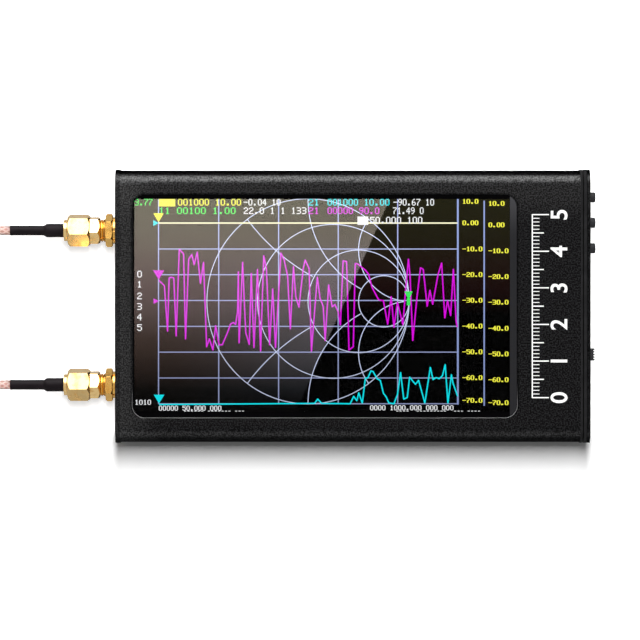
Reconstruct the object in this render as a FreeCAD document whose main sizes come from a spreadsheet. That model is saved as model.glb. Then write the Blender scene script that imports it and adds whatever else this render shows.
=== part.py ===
import FreeCAD, Part
import math
import os
import re
import Sketcher

# Handheld antenna analyzer: a flat aluminium case with a touch display in its face, two coaxial ports on the
# left end, three push buttons, a power slider and a charging socket on the right end, and a coaxial lead
# screwed to each port. Millimetres. The case lies on its back: +X to the right of the display, +Y up the
# display, +Z out of the glass. The origin is the centre of the back face.

Vector = FreeCAD.Vector

SIZES = (
    # case
    ("case_length", 130.0, "overall length, end plate to end plate"),
    ("shell_width", 74.5, "width of the extruded shells"),
    ("case_height", 22.0, "thickness of the case, back to front"),
    ("plate_proud", 0.25, "how far the end plates stand out past the shells, each side"),
    ("edge_radius", 4.2, "rounding of the four long edges"),
    ("wall", 1.6, "shell wall"),
    ("port_plate", 1.3, "end plate that carries the ports"),
    ("frame_depth", 1.9, "moulded frame behind the button plate"),
    ("frame_groove", 0.25, "width and depth of the groove round the frame"),
    ("frame_rim", 0.6, "rim of the frame between the shells and the groove"),
    ("frame_seam", 0.12, "width of the frame's step at the button plate"),
    ("frame_clear", 0.3, "from the frame's opening to the screw channels"),
    ("button_plate", 0.8, "end plate that the buttons come through"),
    ("lip_width", 0.7, "lip of the top shell that laps into the bottom shell"),
    ("lip_height", 1.0, "height of that lip"),
    ("lip_gap", 0.1, "gap round the lip"),
    ("seam_bevel", 0.3, "bevel on both shells at the seam"),
    ("screw_side", 34.2, "end screws, from the case's middle plane"),
    ("screw_inset", 4.8, "end screws, in from the back and from the front"),
    ("boss_radius", 2.2, "screw channels in the corners of the shells"),
    ("boss_bore", 1.0, "their bore, for a screw that cuts its own thread"),
    ("screw_radius", 1.25, "end screws"),
    ("screw_head", 2.2, "radius of their countersunk heads"),
    ("screw_sink", 1.0, "height of the countersink"),
    ("screw_length", 7.0, "length with the head"),
    ("screw_key", 1.5, "hexagon socket of the end screws, across the flats"),
    ("key_deep", 0.7, "depth of that socket"),
    ("screw_clear", 0.1, "clearance round the end screws"),
    # window and display
    ("window_middle", -7.65, "middle of the window along the case"),
    ("window_length", 105.2, "window in the top shell"),
    ("window_width", 61.0, "window in the top shell"),
    ("window_corner", 3.4, "corner radius of the window"),
    ("window_bevel", 0.5, "bevel round the window"),
    ("glass_gap", 0.15, "gap between the glass and the window's edge"),
    ("glass_recess", 0.3, "glass below the face of the case"),
    ("glass_thick", 1.4, "touch glass"),
    ("gasket_thick", 0.3, "foam gasket between the display and the top shell"),
    ("gasket_step", 0.2, "gasket under the edge of the glass"),
    ("lit_left", -59.75, "left edge of the lit area"),
    ("lit_right", 42.95, "right edge of the lit area"),
    ("lit_top", 29.3, "top edge of the lit area"),
    ("lit_bottom", -28.85, "bottom edge of the lit area"),
    ("panel_left", -61.6, "display panel"),
    ("panel_right", 46.6, "display panel"),
    ("panel_side", 31.4, "half the width of the display panel"),
    ("panel_thick", 3.1, "display panel"),
    ("ribbon_thick", 0.2, "flat cable of the display"),
    ("ribbon_width", 22.0, "flat cable of the display"),
    ("ribbon_bend", 49.0, "where the flat cable turns down"),
    ("ribbon_above", 10.0, "length of the flat cable under the display"),
    ("ribbon_below", 4.5, "length of the flat cable above the board"),
    ("ribbon_height", 1.2, "where it enters its connector, above the board"),
    # main board and what is on it
    ("axis_height", 11.0, "height of the port axes above the back"),
    ("tail_radius", 0.38, "solder tail of a port contact, which lies on the board"),
    ("board_thick", 1.6, "main board"),
    ("board_end", 62.0, "half the length of the main board"),
    ("board_side", 34.0, "half the width of the main board"),
    ("pillar_along", 52.0, "board pillars, from the middle"),
    ("pillar_across", 28.0, "board pillars, from the middle"),
    ("pillar_radius", 2.2, "board pillars"),
    ("board_screw", 0.8, "radius of the board screws"),
    ("board_head", 1.76, "radius of their heads"),
    ("board_head_tall", 1.3, "height of their heads"),
    ("board_grip", 3.0, "how far they go into the pillars"),
    ("cross_long", 2.3, "cross recess of the board screws"),
    ("cross_width", 0.4, "cross recess of the board screws"),
    ("cross_deep", 0.6, "cross recess of the board screws"),
    ("can_start", -57.0, "end of the screening can, towards the ports"),
    ("can_length", 36.0, "screening can"),
    ("can_width", 34.0, "screening can"),
    ("can_tall", 3.3, "screening can"),
    ("can_sheet", 0.25, "sheet of the screening can"),
    ("battery_length", 84.0, "battery pouch"),
    ("battery_width", 50.0, "battery pouch"),
    ("battery_thick", 6.2, "battery pouch"),
    ("battery_edge", 2.5, "rounding of the battery's long edges"),
    ("wire_radius", 0.6, "battery wires"),
    ("wire_long", 6.0, "battery wires, to their connector"),
    ("wire_side", 18.0, "middle of the pair of battery wires"),
    ("wire_apart", 3.2, "battery wires, middle to middle"),
    ("wire_height", 5.2, "battery wires above the back"),
    # buttons, slider, socket and lights on the right end
    ("button_radius", 1.4, "push buttons"),
    ("button_out", 2.0, "how far a button stands out of its plate"),
    ("button_travel", 0.5, "how far a button goes in"),
    ("button_first", 16.0, "lowest button, from the middle"),
    ("button_pitch", 7.01, "button to button"),
    ("button_height", 13.1, "button axes above the back"),
    ("button_edge", 0.35, "rounding of a button's tip"),
    ("button_gap", 0.15, "gap round the buttons, slider and socket in their plate"),
    ("guide_gap", 0.06, "gap round a button in its switch"),
    ("flange_back", 59.6, "back of the flange that keeps a button in"),
    ("flange_step", 0.4, "flange beyond the button's radius"),
    ("flange_long", 1.2, "length of the flange"),
    ("dome_tall", 0.7, "room behind a pressed button, for the switch's spring dome"),
    ("switch_back", 57.6, "back of the switches"),
    ("switch_front", 61.9, "front of the switches"),
    ("switch_wall", 0.8, "wall of a switch housing"),
    ("tact_width", 5.0, "housing of a push switch"),
    ("tact_tall", 4.9, "housing of a push switch"),
    ("slider_middle", -13.3, "power slider at rest"),
    ("slider_width", 3.35, "power slider"),
    ("slider_tall", 1.9, "power slider"),
    ("slider_out", 1.85, "how far the slider stands out of its plate"),
    ("slider_travel", 2.0, "how far the slider moves"),
    ("slider_height", 12.4, "slider and light pipes above the back"),
    ("slider_deep", 3.3, "length of the slider's knob"),
    ("stem_deep", 6.9, "from the slider's tip to the end of its stem"),
    ("stem_width", 1.8, "slider stem"),
    ("stem_tall", 1.0, "slider stem"),
    ("grip_pitch", 0.72, "grip grooves of the slider"),
    ("grip_width", 0.3, "grip grooves of the slider"),
    ("grip_deep", 0.35, "grip grooves of the slider"),
    ("slide_switch_width", 8.6, "slide switch"),
    ("slide_switch_tall", 3.6, "slide switch"),
    ("socket_middle", 1.6, "charging socket, from the middle"),
    ("socket_width", 8.94, "shell of the charging socket"),
    ("socket_tall", 3.2, "shell of the charging socket"),
    ("socket_depth", 7.3, "length of the charging socket"),
    ("socket_sheet", 0.32, "sheet of the socket's shell"),
    ("socket_lift", 0.05, "solder gap under the socket"),
    ("tongue_width", 6.7, "contact tongue of the socket"),
    ("tongue_thick", 0.7, "contact tongue of the socket"),
    ("tongue_long", 5.2, "contact tongue of the socket"),
    ("light_first", -4.6, "first light pipe, from the middle"),
    ("light_pitch", 2.2, "light pipe to light pipe"),
    ("light_radius", 0.75, "light pipes"),
    ("light_long", 3.5, "light pipes"),
    ("light_foot", 1.2, "foot of a light pipe"),
    # coaxial ports: lengths are measured outward from the face of the port plate
    ("port_1_side", 20.95, "upper port, from the middle"),
    ("port_2_side", -21.7, "lower port, from the middle"),
    ("thread_radius", 3.175, "quarter-inch coupling thread"),
    ("thread_pitch", 0.7056, "36 threads to the inch"),
    ("thread_deep", 0.38, "depth of the thread"),
    ("port_end", 9.6, "end of the port's barrel"),
    ("port_seat", 7.7, "where the port's dielectric ends"),
    ("port_mouth", 2.325, "radius of the port's counterbore"),
    ("port_flange", 4.0, "radius of the port's flange, behind the plate"),
    ("leg_side", 2.9, "board legs of a port, from its axis"),
    ("leg_size", 1.0, "thickness of the board legs"),
    ("leg_long", 4.0, "length of the board legs and of the solder tail"),
    ("thread_count", 12, "thread grooves outside the plate"),
    ("dielectric", 2.05, "radius of the dielectric"),
    ("contact_radius", 0.635, "centre contact"),
    ("contact_bore", 0.475, "socket in the end of the port's contact"),
    ("contact_deep", 2.6, "depth of that socket"),
    ("washer_thick", 1.2, "toothed lock washer, over its bent teeth"),
    ("washer_radius", 3.7, "toothed lock washer"),
    ("washer_notch", 0.7, "width of the washer's notches"),
    ("washer_bite", 0.3, "depth of the washer's notches"),
    ("nut_flats", 8.0, "panel nut and coupling nut, across the flats"),
    ("panel_nut_end", 3.14, "outer face of the panel nut"),
    ("panel_nut_bevel", 0.4, "bevel on its corners"),
    ("nut_gap", 0.02, "gap between the thread and what is screwed tight on it"),
    # coaxial plugs
    ("plug_front", 4.7, "front of the coupling nut"),
    ("hex_start", 7.4, "start of the large hexagon"),
    ("hex_end", 13.65, "end of the large hexagon"),
    ("front_flats", 6.9, "small hexagon at the front of the coupling nut"),
    ("hex_bevel", 0.75, "bevel on the corners of the large hexagon"),
    ("front_bevel", 0.6, "bevel on the corners of the small hexagon"),
    ("nut_bore", 3.25, "radius of the coupling nut's bore"),
    ("nut_back", 11.1, "where the coupling nut's back wall starts"),
    ("plug_bottom", 12.0, "bottom of the plug's bore, where its dielectric ends"),
    ("pin_radius", 0.46, "tip of the plug's centre pin"),
    ("pin_long", 2.3, "tip of the plug's centre pin"),
    ("seat_gap", 0.02, "gap between the plug and the port's dielectric"),
    ("plug_shell", 2.275, "radius of the plug's outer contact, which goes into the port's counterbore"),
    ("plug_flange_start", 9.7, "flange that the coupling nut pulls on"),
    ("plug_flange_end", 11.0, "flange that the coupling nut pulls on"),
    ("plug_flange", 3.1, "radius of that flange"),
    ("neck_radius", 2.6, "neck of the plug, which the nut turns on"),
    ("neck_gap", 0.05, "clearance round the neck"),
    ("collar_start", 13.75, "collar behind the coupling nut"),
    ("collar_end", 14.7, "collar behind the coupling nut"),
    ("collar_radius", 2.95, "collar behind the coupling nut"),
    ("ferrule_radius", 1.6, "crimped ferrule"),
    ("ferrule_end", 19.65, "crimped ferrule"),
    ("sleeve_step", 19.95, "middle of the step in the heat-shrink sleeve"),
    ("sleeve_slope", 0.3, "half the length of that step"),
    ("sleeve_end", 29.6, "end of the heat-shrink sleeve"),
    ("sleeve_thick", 1.9, "radius of the sleeve over the ferrule"),
    ("sleeve_thin", 1.375, "radius of the sleeve over the cable"),
    # leads
    ("cable_radius", 1.25, "coaxial cable"),
    ("lead_length", 300.0, "one lead, from coupling nut to coupling nut"),
    ("coil_radius", 12.5, "middle of the coil's turns"),
    ("coil_turns", 2.5, "turns in a coil"),
    ("coil_layers", 3.0, "turns on top of each other where the coil is tallest"),
    ("tie_thick", 0.4, "hook-and-loop tie"),
    ("tie_width", 6.0, "hook-and-loop tie"),
    ("tie_slack", 0.15, "gap between the tie and the coil"),
    ("tie_room", 0.55, "gap inside the ring, where the coil curves past the tie"),
    ("level_run", 9.5, "level stretch of a lead at its port"),
    ("falling_run", 15.0, "stretch that falls to the surface, measured level"),
    ("floor_run", 17.6, "stretch on the surface before the coil"),
    ("plug_tilt", 3.72, "slope of the free plug, which leans from the coil to the surface, in degrees"),
)
ALIASES = {alias for alias, number, meaning in SIZES}

doc = FreeCAD.newDocument("antenna_analyzer")
sheet = doc.addObject("Spreadsheet::Sheet", "Dims")
for row, (alias, number, meaning) in enumerate(SIZES, 1):
    sheet.set(f"A{row}", alias)
    sheet.set(f"B{row}", str(number))
    sheet.set(f"C{row}", meaning)
    sheet.setAlias(f"B{row}", alias)
doc.recompute()

# heights and lengths that several pieces share, each a formula in plain names
SHELL_START = "(port_plate - case_length / 2)"
SHELL_LENGTH = "(case_length - port_plate - frame_depth - button_plate)"
CASE_END = "(case_length / 2)"
SOCKET_HEIGHT = "(axis_height - tail_radius + socket_lift + socket_tall / 2)"
SEAM = "(case_height / 2)"
BOARD_TOP = "(axis_height - tail_radius)"
BOARD_BOTTOM = f"({BOARD_TOP} - board_thick)"
GLASS_BOTTOM = "(case_height - glass_recess - glass_thick)"
PANEL_TOP = f"({GLASS_BOTTOM} - gasket_step)"
PANEL_BOTTOM = f"({PANEL_TOP} - panel_thick)"
COIL_BOTTOM = "tie_thick"
CABLE_FLOOR = f"({COIL_BOTTOM} + cable_radius)"
COIL_X = "(-case_length / 2 - sleeve_end - level_run - falling_run - floor_run)"

ALONG_X = FreeCAD.Rotation(Vector(0, 1, 0), 90)
ALONG_Z = FreeCAD.Rotation()
# a piece on the left or the right end is drawn outward: its own X points out of the case
TO_RIGHT = FreeCAD.Rotation()
TO_LEFT = FreeCAD.Rotation(Vector(0, 0, 1), 180)
LEFT_END = (("-case_length / 2", "0", "0"), TO_LEFT)
RIGHT_END = (("case_length / 2", "0", "0"), TO_RIGHT)
EPS = 1e-4
NODES = []


def formula(text):
    """An expression in plain names, turned into one that reads the sheet."""
    return re.sub(r"[a-z][a-z0-9_]*", lambda w: "Dims." + w[0] if w[0] in ALIASES else w[0], str(text))


def value(text):
    return float(sheet.evalExpression(formula(text)))


def place(thing, at, turn=ALONG_Z):
    """Put an object at three formulas, turned by a fixed rotation."""
    thing.Placement = FreeCAD.Placement(Vector(*(value(part) for part in at)), turn)
    for letter, part in zip("xyz", at):
        thing.setExpression(f"Placement.Base.{letter}", formula(part))


class Piece:
    """One sub-part: a PartDesign body and the features it is made of."""

    def __init__(self, label, at=("0", "0", "0"), turn=ALONG_Z):
        self.body = doc.addObject("PartDesign::Body", label)
        self.body.Label = label
        place(self.body, at, turn)
        self.count = 0
        NODES.append(self.body)

    def feature(self, kind, **sizes):
        self.count += 1
        made = self.body.newObject("PartDesign::" + kind, f"{self.body.Name}_{kind}_{self.count}")
        for name, text in sizes.items():
            made.setExpression(name, formula(text))
        return made

    def box(self, start, size, cut=False):
        """A box from its low corner and its three lengths."""
        kind = "SubtractiveBox" if cut else "AdditiveBox"
        place(self.feature(kind, Length=size[0], Width=size[1], Height=size[2]), start)

    def rod(self, start, radius, length, cut=False, turn=ALONG_X):
        """A round bar along X, or along another line with its own turn."""
        kind = "SubtractiveCylinder" if cut else "AdditiveCylinder"
        place(self.feature(kind, Radius=radius, Height=length), start, turn)

    def cone(self, start, radii, length, cut=False):
        """A cone along X, from its first radius to its second."""
        kind = "SubtractiveCone" if cut else "AdditiveCone"
        place(self.feature(kind, Radius1=radii[0], Radius2=radii[1], Height=length), start, ALONG_X)

    def hexagon(self, start, flats, length, angle, cut=False):
        """A hexagonal bar along X; the angle turns its corners from the vertical."""
        kind = "SubtractivePrism" if cut else "AdditivePrism"
        made = self.feature(kind, Circumradius=f"{flats} / 2 / cos(30)", Height=length)
        made.Polygon = 6
        place(made, start, FreeCAD.Rotation(Vector(1, 0, 0), angle) * ALONG_X)

    def empty_sketch(self, role, offset="0"):
        """A sketch on one of the body's own planes, moved along its normal."""
        plane = next(item for item in self.body.Origin.OriginFeatures if item.Role == role)
        self.count += 1
        drawn = self.body.newObject("Sketcher::SketchObject", f"{self.body.Name}_sketch_{self.count}")
        drawn.AttachmentSupport = [(plane, "")]
        drawn.MapMode = "FlatFace"
        drawn.setExpression("AttachmentOffset.Base.z", formula(offset))
        return drawn

    def sketch(self, role, outlines, offset="0"):
        """A fully bound sketch: each outline is a closed list of corners."""
        drawn = self.empty_sketch(role, offset)
        for corners in outlines:
            first = drawn.GeometryCount
            spots = [Vector(value(across), value(up), 0) for across, up in corners]
            for number, spot in enumerate(spots):
                drawn.addGeometry(Part.LineSegment(spot, spots[(number + 1) % len(spots)]), False)
            for number in range(len(spots)):
                after = first + (number + 1) % len(spots)
                drawn.addConstraint(Sketcher.Constraint("Coincident", first + number, 2, after, 1))
            for number, (corner, spot) in enumerate(zip(corners, spots)):
                for direction, text, amount in zip("XY", corner, spot):
                    rule = Sketcher.Constraint("Distance" + direction, -1, 1, first + number, 1, amount)
                    drawn.setExpression(f"Constraints[{drawn.addConstraint(rule)}]", formula(text))
        return drawn

    def rounded_sketch(self, role, low, high, radius, offset="0"):
        """A fully bound rectangle with rounded corners, from its low corner to its high one."""
        drawn = self.empty_sketch(role, offset)
        (left, bottom), (right, top), reach = (tuple(map(value, low)), tuple(map(value, high)), value(radius))
        sides = (((left + reach, bottom), (right - reach, bottom)),
                 ((right, bottom + reach), (right, top - reach)),
                 ((right - reach, top), (left + reach, top)),
                 ((left, top - reach), (left, bottom + reach)))
        middles = ((right - reach, bottom + reach), (right - reach, top - reach),
                   (left + reach, top - reach), (left + reach, bottom + reach))
        for start, end in sides:
            drawn.addGeometry(Part.LineSegment(Vector(*start, 0), Vector(*end, 0)), False)
        for quarter, middle in enumerate(middles):
            circle = Part.Circle(Vector(*middle, 0), Vector(0, 0, 1), reach)
            start = (quarter - 1) * math.pi / 2
            drawn.addGeometry(Part.ArcOfCircle(circle, start, start + math.pi / 2), False)
        for side, rule in enumerate(("Horizontal", "Vertical", "Horizontal", "Vertical")):
            drawn.addConstraint(Sketcher.Constraint(rule, side))
            drawn.addConstraint(Sketcher.Constraint("Tangent", side, 2, side + 4, 1))
            drawn.addConstraint(Sketcher.Constraint("Tangent", side + 4, 2, (side + 1) % 4, 1))
        for corner in (5, 6, 7):
            drawn.addConstraint(Sketcher.Constraint("Equal", 4, corner))
        rules = [(Sketcher.Constraint("Radius", 4, reach), radius)]
        levels = ((0, "Y", low[1]), (1, "X", high[0]), (2, "Y", high[1]), (3, "X", low[0]))
        for side, direction, text in levels:
            rules.append((Sketcher.Constraint("Distance" + direction, -1, 1, side, 1, value(text)), text))
        for rule, text in rules:
            drawn.setExpression(f"Constraints[{drawn.addConstraint(rule)}]", formula(text))
        return drawn

    def pad(self, sketch, length):
        self.feature("Pad", Length=length).Profile = sketch

    def pocket(self, sketch, length):
        self.feature("Pocket", Length=length).Profile = sketch

    def turned(self, outlines, cut=False):
        """A round piece: outlines of (distance along X, radius), turned about X."""
        drawn = self.sketch("XY_Plane", outlines)
        made = self.feature("Groove" if cut else "Revolution")
        made.Profile = drawn
        made.ReferenceAxis = (drawn, ["H_Axis"])
        made.Angle = 360
        return made

    def repeat(self, original, spacing, count):
        """A row of one turned feature along X."""
        made = self.feature("LinearPattern", Length=f"{spacing} * {count - 1}")
        made.Originals = [original]
        made.Direction = (original.Profile[0], ["H_Axis"])
        made.Occurrences = count
        self.body.Tip = made

    def edges(self, chosen):
        """Names of the edges of the piece so far that a test picks by their box."""
        doc.recompute()
        shape = self.body.Tip.Shape
        return [f"Edge{number}" for number, edge in enumerate(shape.Edges, 1) if chosen(edge.BoundBox)]

    def round_off(self, radius, chosen):
        self.blend("Fillet", chosen, Radius=radius)

    def bevel(self, size, chosen):
        self.blend("Chamfer", chosen, Size=size)

    def blend(self, kind, chosen, **sizes):
        names = self.edges(chosen)
        base = self.body.Tip
        if not names:
            raise SystemExit(f"{self.body.Label}: no edge for a {kind}")
        made = self.feature(kind, **sizes)
        made.Base = (base, names)


def along_x(box, start, end):
    """True for an edge that runs along X from start to end."""
    from_to = abs(box.XMin - start) < EPS and abs(box.XMax - end) < EPS
    return from_to and box.YLength < EPS and box.ZLength < EPS


def rounded_slab(piece, start, length, half_width, radius, low="0", high="case_height"):
    """A plate across the case, with its four long corners rounded."""
    outline = piece.rounded_sketch("YZ_Plane", (f"-({half_width})", low), (half_width, high), radius, start)
    piece.pad(outline, length)


# --- case ---------------------------------------------------------------------------------------------------

def shell(label, top):
    """One extruded half of the case, with its lap at the seam and a screw channel in each corner."""
    piece = Piece(label)
    half, inner = "shell_width / 2", "(shell_width / 2 - wall)"
    if top:
        outside, inside = "case_height", "(case_height - wall)"
        lip = f"({inner} + lip_width)"
        lap = [(lip, SEAM), (lip, f"{SEAM} - lip_height"), (inner, f"{SEAM} - lip_height")]
        channel = "case_height - screw_inset"
    else:
        outside, inside = "0", "wall"
        lip = f"({inner} + lip_width + lip_gap)"
        bottom = f"{SEAM} - lip_height - lip_gap"
        lap = [(lip, SEAM), (lip, bottom), (inner, bottom)]
        channel = "screw_inset"
    right = [(half, outside), (half, SEAM)] + lap + [(inner, inside)]
    left = [(f"-({across})", up) for across, up in reversed(right)]
    piece.pad(piece.sketch("YZ_Plane", [right + left], SHELL_START), SHELL_LENGTH)
    ends = value(SHELL_START), value(f"{SHELL_START} + {SHELL_LENGTH}")
    for radius, level in (("edge_radius", outside), ("edge_radius - wall", inside)):
        height = value(level)
        piece.round_off(radius, lambda box: along_x(box, *ends) and abs(box.ZMin - height) < EPS)
    seam, side = value(SEAM), value(half)
    piece.bevel("seam_bevel", lambda box: along_x(box, *ends) and abs(box.ZMin - seam) < EPS
                and abs(abs(box.YMin) - side) < EPS)
    for sign in (1, -1):
        piece.rod((SHELL_START, f"{sign} * screw_side", channel), "boss_radius", SHELL_LENGTH)
        piece.rod((f"{SHELL_START} - 1", f"{sign} * screw_side", channel), "boss_bore",
                  f"{SHELL_LENGTH} + 2", cut=True)
    return piece


def top_shell():
    piece = shell("top_shell", top=True)
    left, right = "(window_middle - window_length / 2)", "(window_middle + window_length / 2)"
    piece.pocket(piece.rounded_sketch("XY_Plane", (left, "-window_width / 2"), (right, "window_width / 2"),
                                      "window_corner", "case_height"), "wall + 1")
    face, start, end = value("case_height"), value(left) - EPS, value(right) + EPS
    side = value("window_width / 2") + EPS
    piece.bevel("window_bevel", lambda box: abs(box.ZMin - face) < EPS and box.ZLength < EPS
                and box.XMin > start and box.XMax < end and box.YMax < side and box.YMin > -side)


def screw_places():
    """The four end screws: side of the middle plane, and height."""
    return [(f"{sign} * screw_side", height) for sign in (1, -1)
            for height in ("screw_inset", "(case_height - screw_inset)")]


def screw_holes(piece, depth):
    """Countersunk holes through to a depth behind the end face."""
    hole, rim = "(screw_radius + screw_clear)", "(screw_head + screw_clear)"
    for across, height in screw_places():
        piece.rod((f"-({depth}) - 1", across, height), hole, f"{depth} + 2", cut=True)
        piece.cone(("-screw_sink", across, height), (hole, rim), "screw_sink", cut=True)


def port_end_plate():
    piece = Piece("port_end_plate", *LEFT_END)
    rounded_slab(piece, "-port_plate", "port_plate", "shell_width / 2 + plate_proud", "edge_radius")
    screw_holes(piece, "port_plate")
    for side in ("port_1_side", "port_2_side"):
        piece.rod(("-port_plate - 1", f"-({side})", "axis_height"), "thread_radius + screw_clear",
                  "port_plate + 2", cut=True)


def button_end_frame():
    """Moulded frame between the shells and the button plate, with a fine groove and a step round it."""
    piece = Piece("button_end_frame", *RIGHT_END)
    outer = "shell_width / 2 + plate_proud"
    back = "(-button_plate - frame_depth)"
    groove, seam = f"({back} + frame_rim)", "(-button_plate - frame_seam)"
    rounded_slab(piece, back, "frame_rim", outer, "edge_radius")
    rounded_slab(piece, f"({groove} + frame_groove)", f"{seam} - {groove} - frame_groove", outer, "edge_radius")
    for start, length in ((groove, "frame_groove"), (seam, "frame_seam")):
        rounded_slab(piece, start, length, f"{outer} - frame_groove", "edge_radius - frame_groove",
                     "frame_groove", "case_height - frame_groove")
    opening, low = "(screw_side - boss_radius - frame_clear)", "(wall + boss_radius)"
    piece.box((f"{back} - 1", f"-{opening}", low),
              ("frame_depth + 2", f"2 * {opening}", f"case_height - 2 * {low}"), cut=True)
    screw_holes(piece, "button_plate + frame_depth")


def button_end_plate():
    """Right end plate, with holes for the buttons, slider, charging socket and light pipes."""
    piece = Piece("button_end_plate", *RIGHT_END)
    rounded_slab(piece, "-button_plate", "button_plate", "shell_width / 2 + plate_proud", "edge_radius")
    screw_holes(piece, "button_plate")
    start, deep = "-button_plate - 1", "button_plate + 2"
    for number in range(3):
        piece.rod((start, f"button_first + {number} * button_pitch", "button_height"),
                  "button_radius + button_gap", deep, cut=True)
    for number in range(2):
        piece.rod((start, f"light_first - {number} * light_pitch", "slider_height"),
                  "light_radius + lip_gap / 2", deep, cut=True)
    long, tall = "slider_width + slider_travel + 2 * button_gap", "slider_tall + 2 * button_gap"
    piece.box((start, "slider_middle - slider_width / 2 - button_gap",
               "slider_height - slider_tall / 2 - button_gap"), (deep, long, tall), cut=True)
    slot(piece, start, deep, "(socket_tall / 2 + button_gap)")


def slot(piece, start, length, reach):
    """A slot with round ends through the right end, round the charging socket's middle line."""
    straight = "(socket_width - socket_tall)"
    piece.box((start, f"socket_middle - {straight} / 2", f"{SOCKET_HEIGHT} - {reach}"),
              (length, straight, f"2 * {reach}"), cut=True)
    for sign in (1, -1):
        side = f"socket_middle + {sign} * {straight} / 2"
        piece.rod((start, side, SOCKET_HEIGHT), reach, length, cut=True)


def end_screws(label, end, grip):
    """Four countersunk screws. Past the plates they have the size of the bore they cut their thread in."""
    piece = Piece(label, *end)
    for across, height in screw_places():
        piece.rod(("-screw_length", across, height), "boss_bore", f"screw_length - ({grip})")
        piece.rod((f"-({grip})", across, height), "screw_radius", f"{grip} - screw_sink")
        piece.cone(("-screw_sink", across, height), ("screw_radius", "screw_head"), "screw_sink")
        piece.hexagon(("-key_deep", across, height), "screw_key", "2 * key_deep", 0, cut=True)


# --- display ------------------------------------------------------------------------------------------------

def cover_glass():
    piece = Piece("cover_glass")
    length, side = "(window_length / 2 - glass_gap)", "(window_width / 2 - glass_gap)"
    low, high = (f"window_middle - {length}", f"-{side}"), (f"window_middle + {length}", side)
    outline = piece.rounded_sketch("XY_Plane", low, high, "window_corner - glass_gap", GLASS_BOTTOM)
    piece.pad(outline, "glass_thick")
    face = value("case_height - glass_recess")
    piece.bevel("glass_gap", lambda box: box.ZLength < EPS and abs(box.ZMin - face) < EPS)


def lcd_panel():
    piece = Piece("lcd_panel")
    piece.box(("panel_left", "-panel_side", PANEL_BOTTOM),
              ("panel_right - panel_left", "2 * panel_side", "panel_thick"))


def display_gasket():
    """Foam ring under the shell's edge, stepped down under the edge of the glass."""
    piece = Piece("display_gasket")
    long, wide = "panel_right - panel_left - 2 * gasket_step", "2 * (panel_side - gasket_step)"
    piece.box(("panel_left + gasket_step", "gasket_step - panel_side", PANEL_TOP),
              (long, wide, "gasket_thick"))
    piece.box(("window_middle - window_length / 2", "-window_width / 2", GLASS_BOTTOM),
              ("window_length", "window_width", "gasket_thick"), cut=True)
    long, wide = "lit_right - lit_left + 2 * glass_gap", "lit_top - lit_bottom + 2 * glass_gap"
    piece.box(("lit_left - glass_gap", "lit_bottom - glass_gap", f"{PANEL_TOP} - 1"), (long, wide, "2"),
              cut=True)


def display_ribbon():
    """Flat cable from under the display, round a bend and back to its connector on the board."""
    piece = Piece("display_ribbon")
    top, low = PANEL_BOTTOM, f"({BOARD_TOP} + ribbon_height)"
    above, below = "ribbon_bend - ribbon_above", "ribbon_bend - ribbon_below"
    outer = [(above, top), ("ribbon_bend", top), ("ribbon_bend", low), (below, low)]
    inner = [(below, f"{low} + ribbon_thick"), ("ribbon_bend - ribbon_thick", f"{low} + ribbon_thick"),
             ("ribbon_bend - ribbon_thick", f"{top} - ribbon_thick"), (above, f"{top} - ribbon_thick")]
    piece.pad(piece.sketch("XZ_Plane", [outer + inner], "-ribbon_width / 2"), "ribbon_width")


# --- board, battery and what is soldered on -----------------------------------------------------------------

def corners_of_board():
    return [(f"{a} * pillar_along", f"{b} * pillar_across") for a in (1, -1) for b in (1, -1)]


def main_board():
    piece = Piece("main_board")
    piece.box(("-board_end", "-board_side", BOARD_BOTTOM), ("2 * board_end", "2 * board_side", "board_thick"))
    for x, y in corners_of_board():
        piece.rod((x, y, f"{BOARD_BOTTOM} - 1"), "board_screw + screw_clear", "board_thick + 2", cut=True,
                  turn=ALONG_Z)


def board_standoffs():
    """Threaded pillars between the bottom shell and the board."""
    piece = Piece("board_standoffs")
    for x, y in corners_of_board():
        piece.rod((x, y, "wall"), "pillar_radius", f"{BOARD_BOTTOM} - wall", turn=ALONG_Z)
        piece.rod((x, y, f"{BOARD_BOTTOM} - board_grip - 1"), "board_screw", "board_grip + 2", cut=True,
                  turn=ALONG_Z)


def board_screws():
    """Four pan-head screws with a cross recess."""
    piece = Piece("board_screws")
    recess = f"{BOARD_TOP} + board_head_tall - cross_deep"
    shank = "board_thick + board_grip"
    for x, y in corners_of_board():
        piece.rod((x, y, f"{BOARD_BOTTOM} - board_grip"), "board_screw", shank, turn=ALONG_Z)
        piece.rod((x, y, BOARD_TOP), "board_head", "board_head_tall", turn=ALONG_Z)
        for length, width in (("cross_long", "cross_width"), ("cross_width", "cross_long")):
            piece.box((f"{x} - {length} / 2", f"{y} - {width} / 2", recess), (length, width, "1"), cut=True)


def rf_shield():
    """Folded screening can over the radio circuits, open towards the board."""
    piece = Piece("rf_shield")
    piece.box(("can_start", "-can_width / 2", BOARD_TOP), ("can_length", "can_width", "can_tall"))
    inside = ("can_length - 2 * can_sheet", "can_width - 2 * can_sheet", "can_tall + 1 - can_sheet")
    piece.box(("can_start + can_sheet", "can_sheet - can_width / 2", f"{BOARD_TOP} - 1"), inside, cut=True)


# what is soldered on top of the board: middle x, middle y, length, width, height
CHIPS = (
    (4, -2, 14, 14, 1.4),     # processor
    (24, 8, 8, 6, 1.0),       # memory
    (24, -8, 5, 5, 0.9),      # synthesizer
    (36, 22, 6, 5, 1.6),      # charger
    (10, 24, 9, 9, 3.0),      # buzzer
    (40, -24, 7, 5, 1.2),     # regulator
    (42.5, 0, 4, 24, 2.0),    # display connector
)


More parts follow.
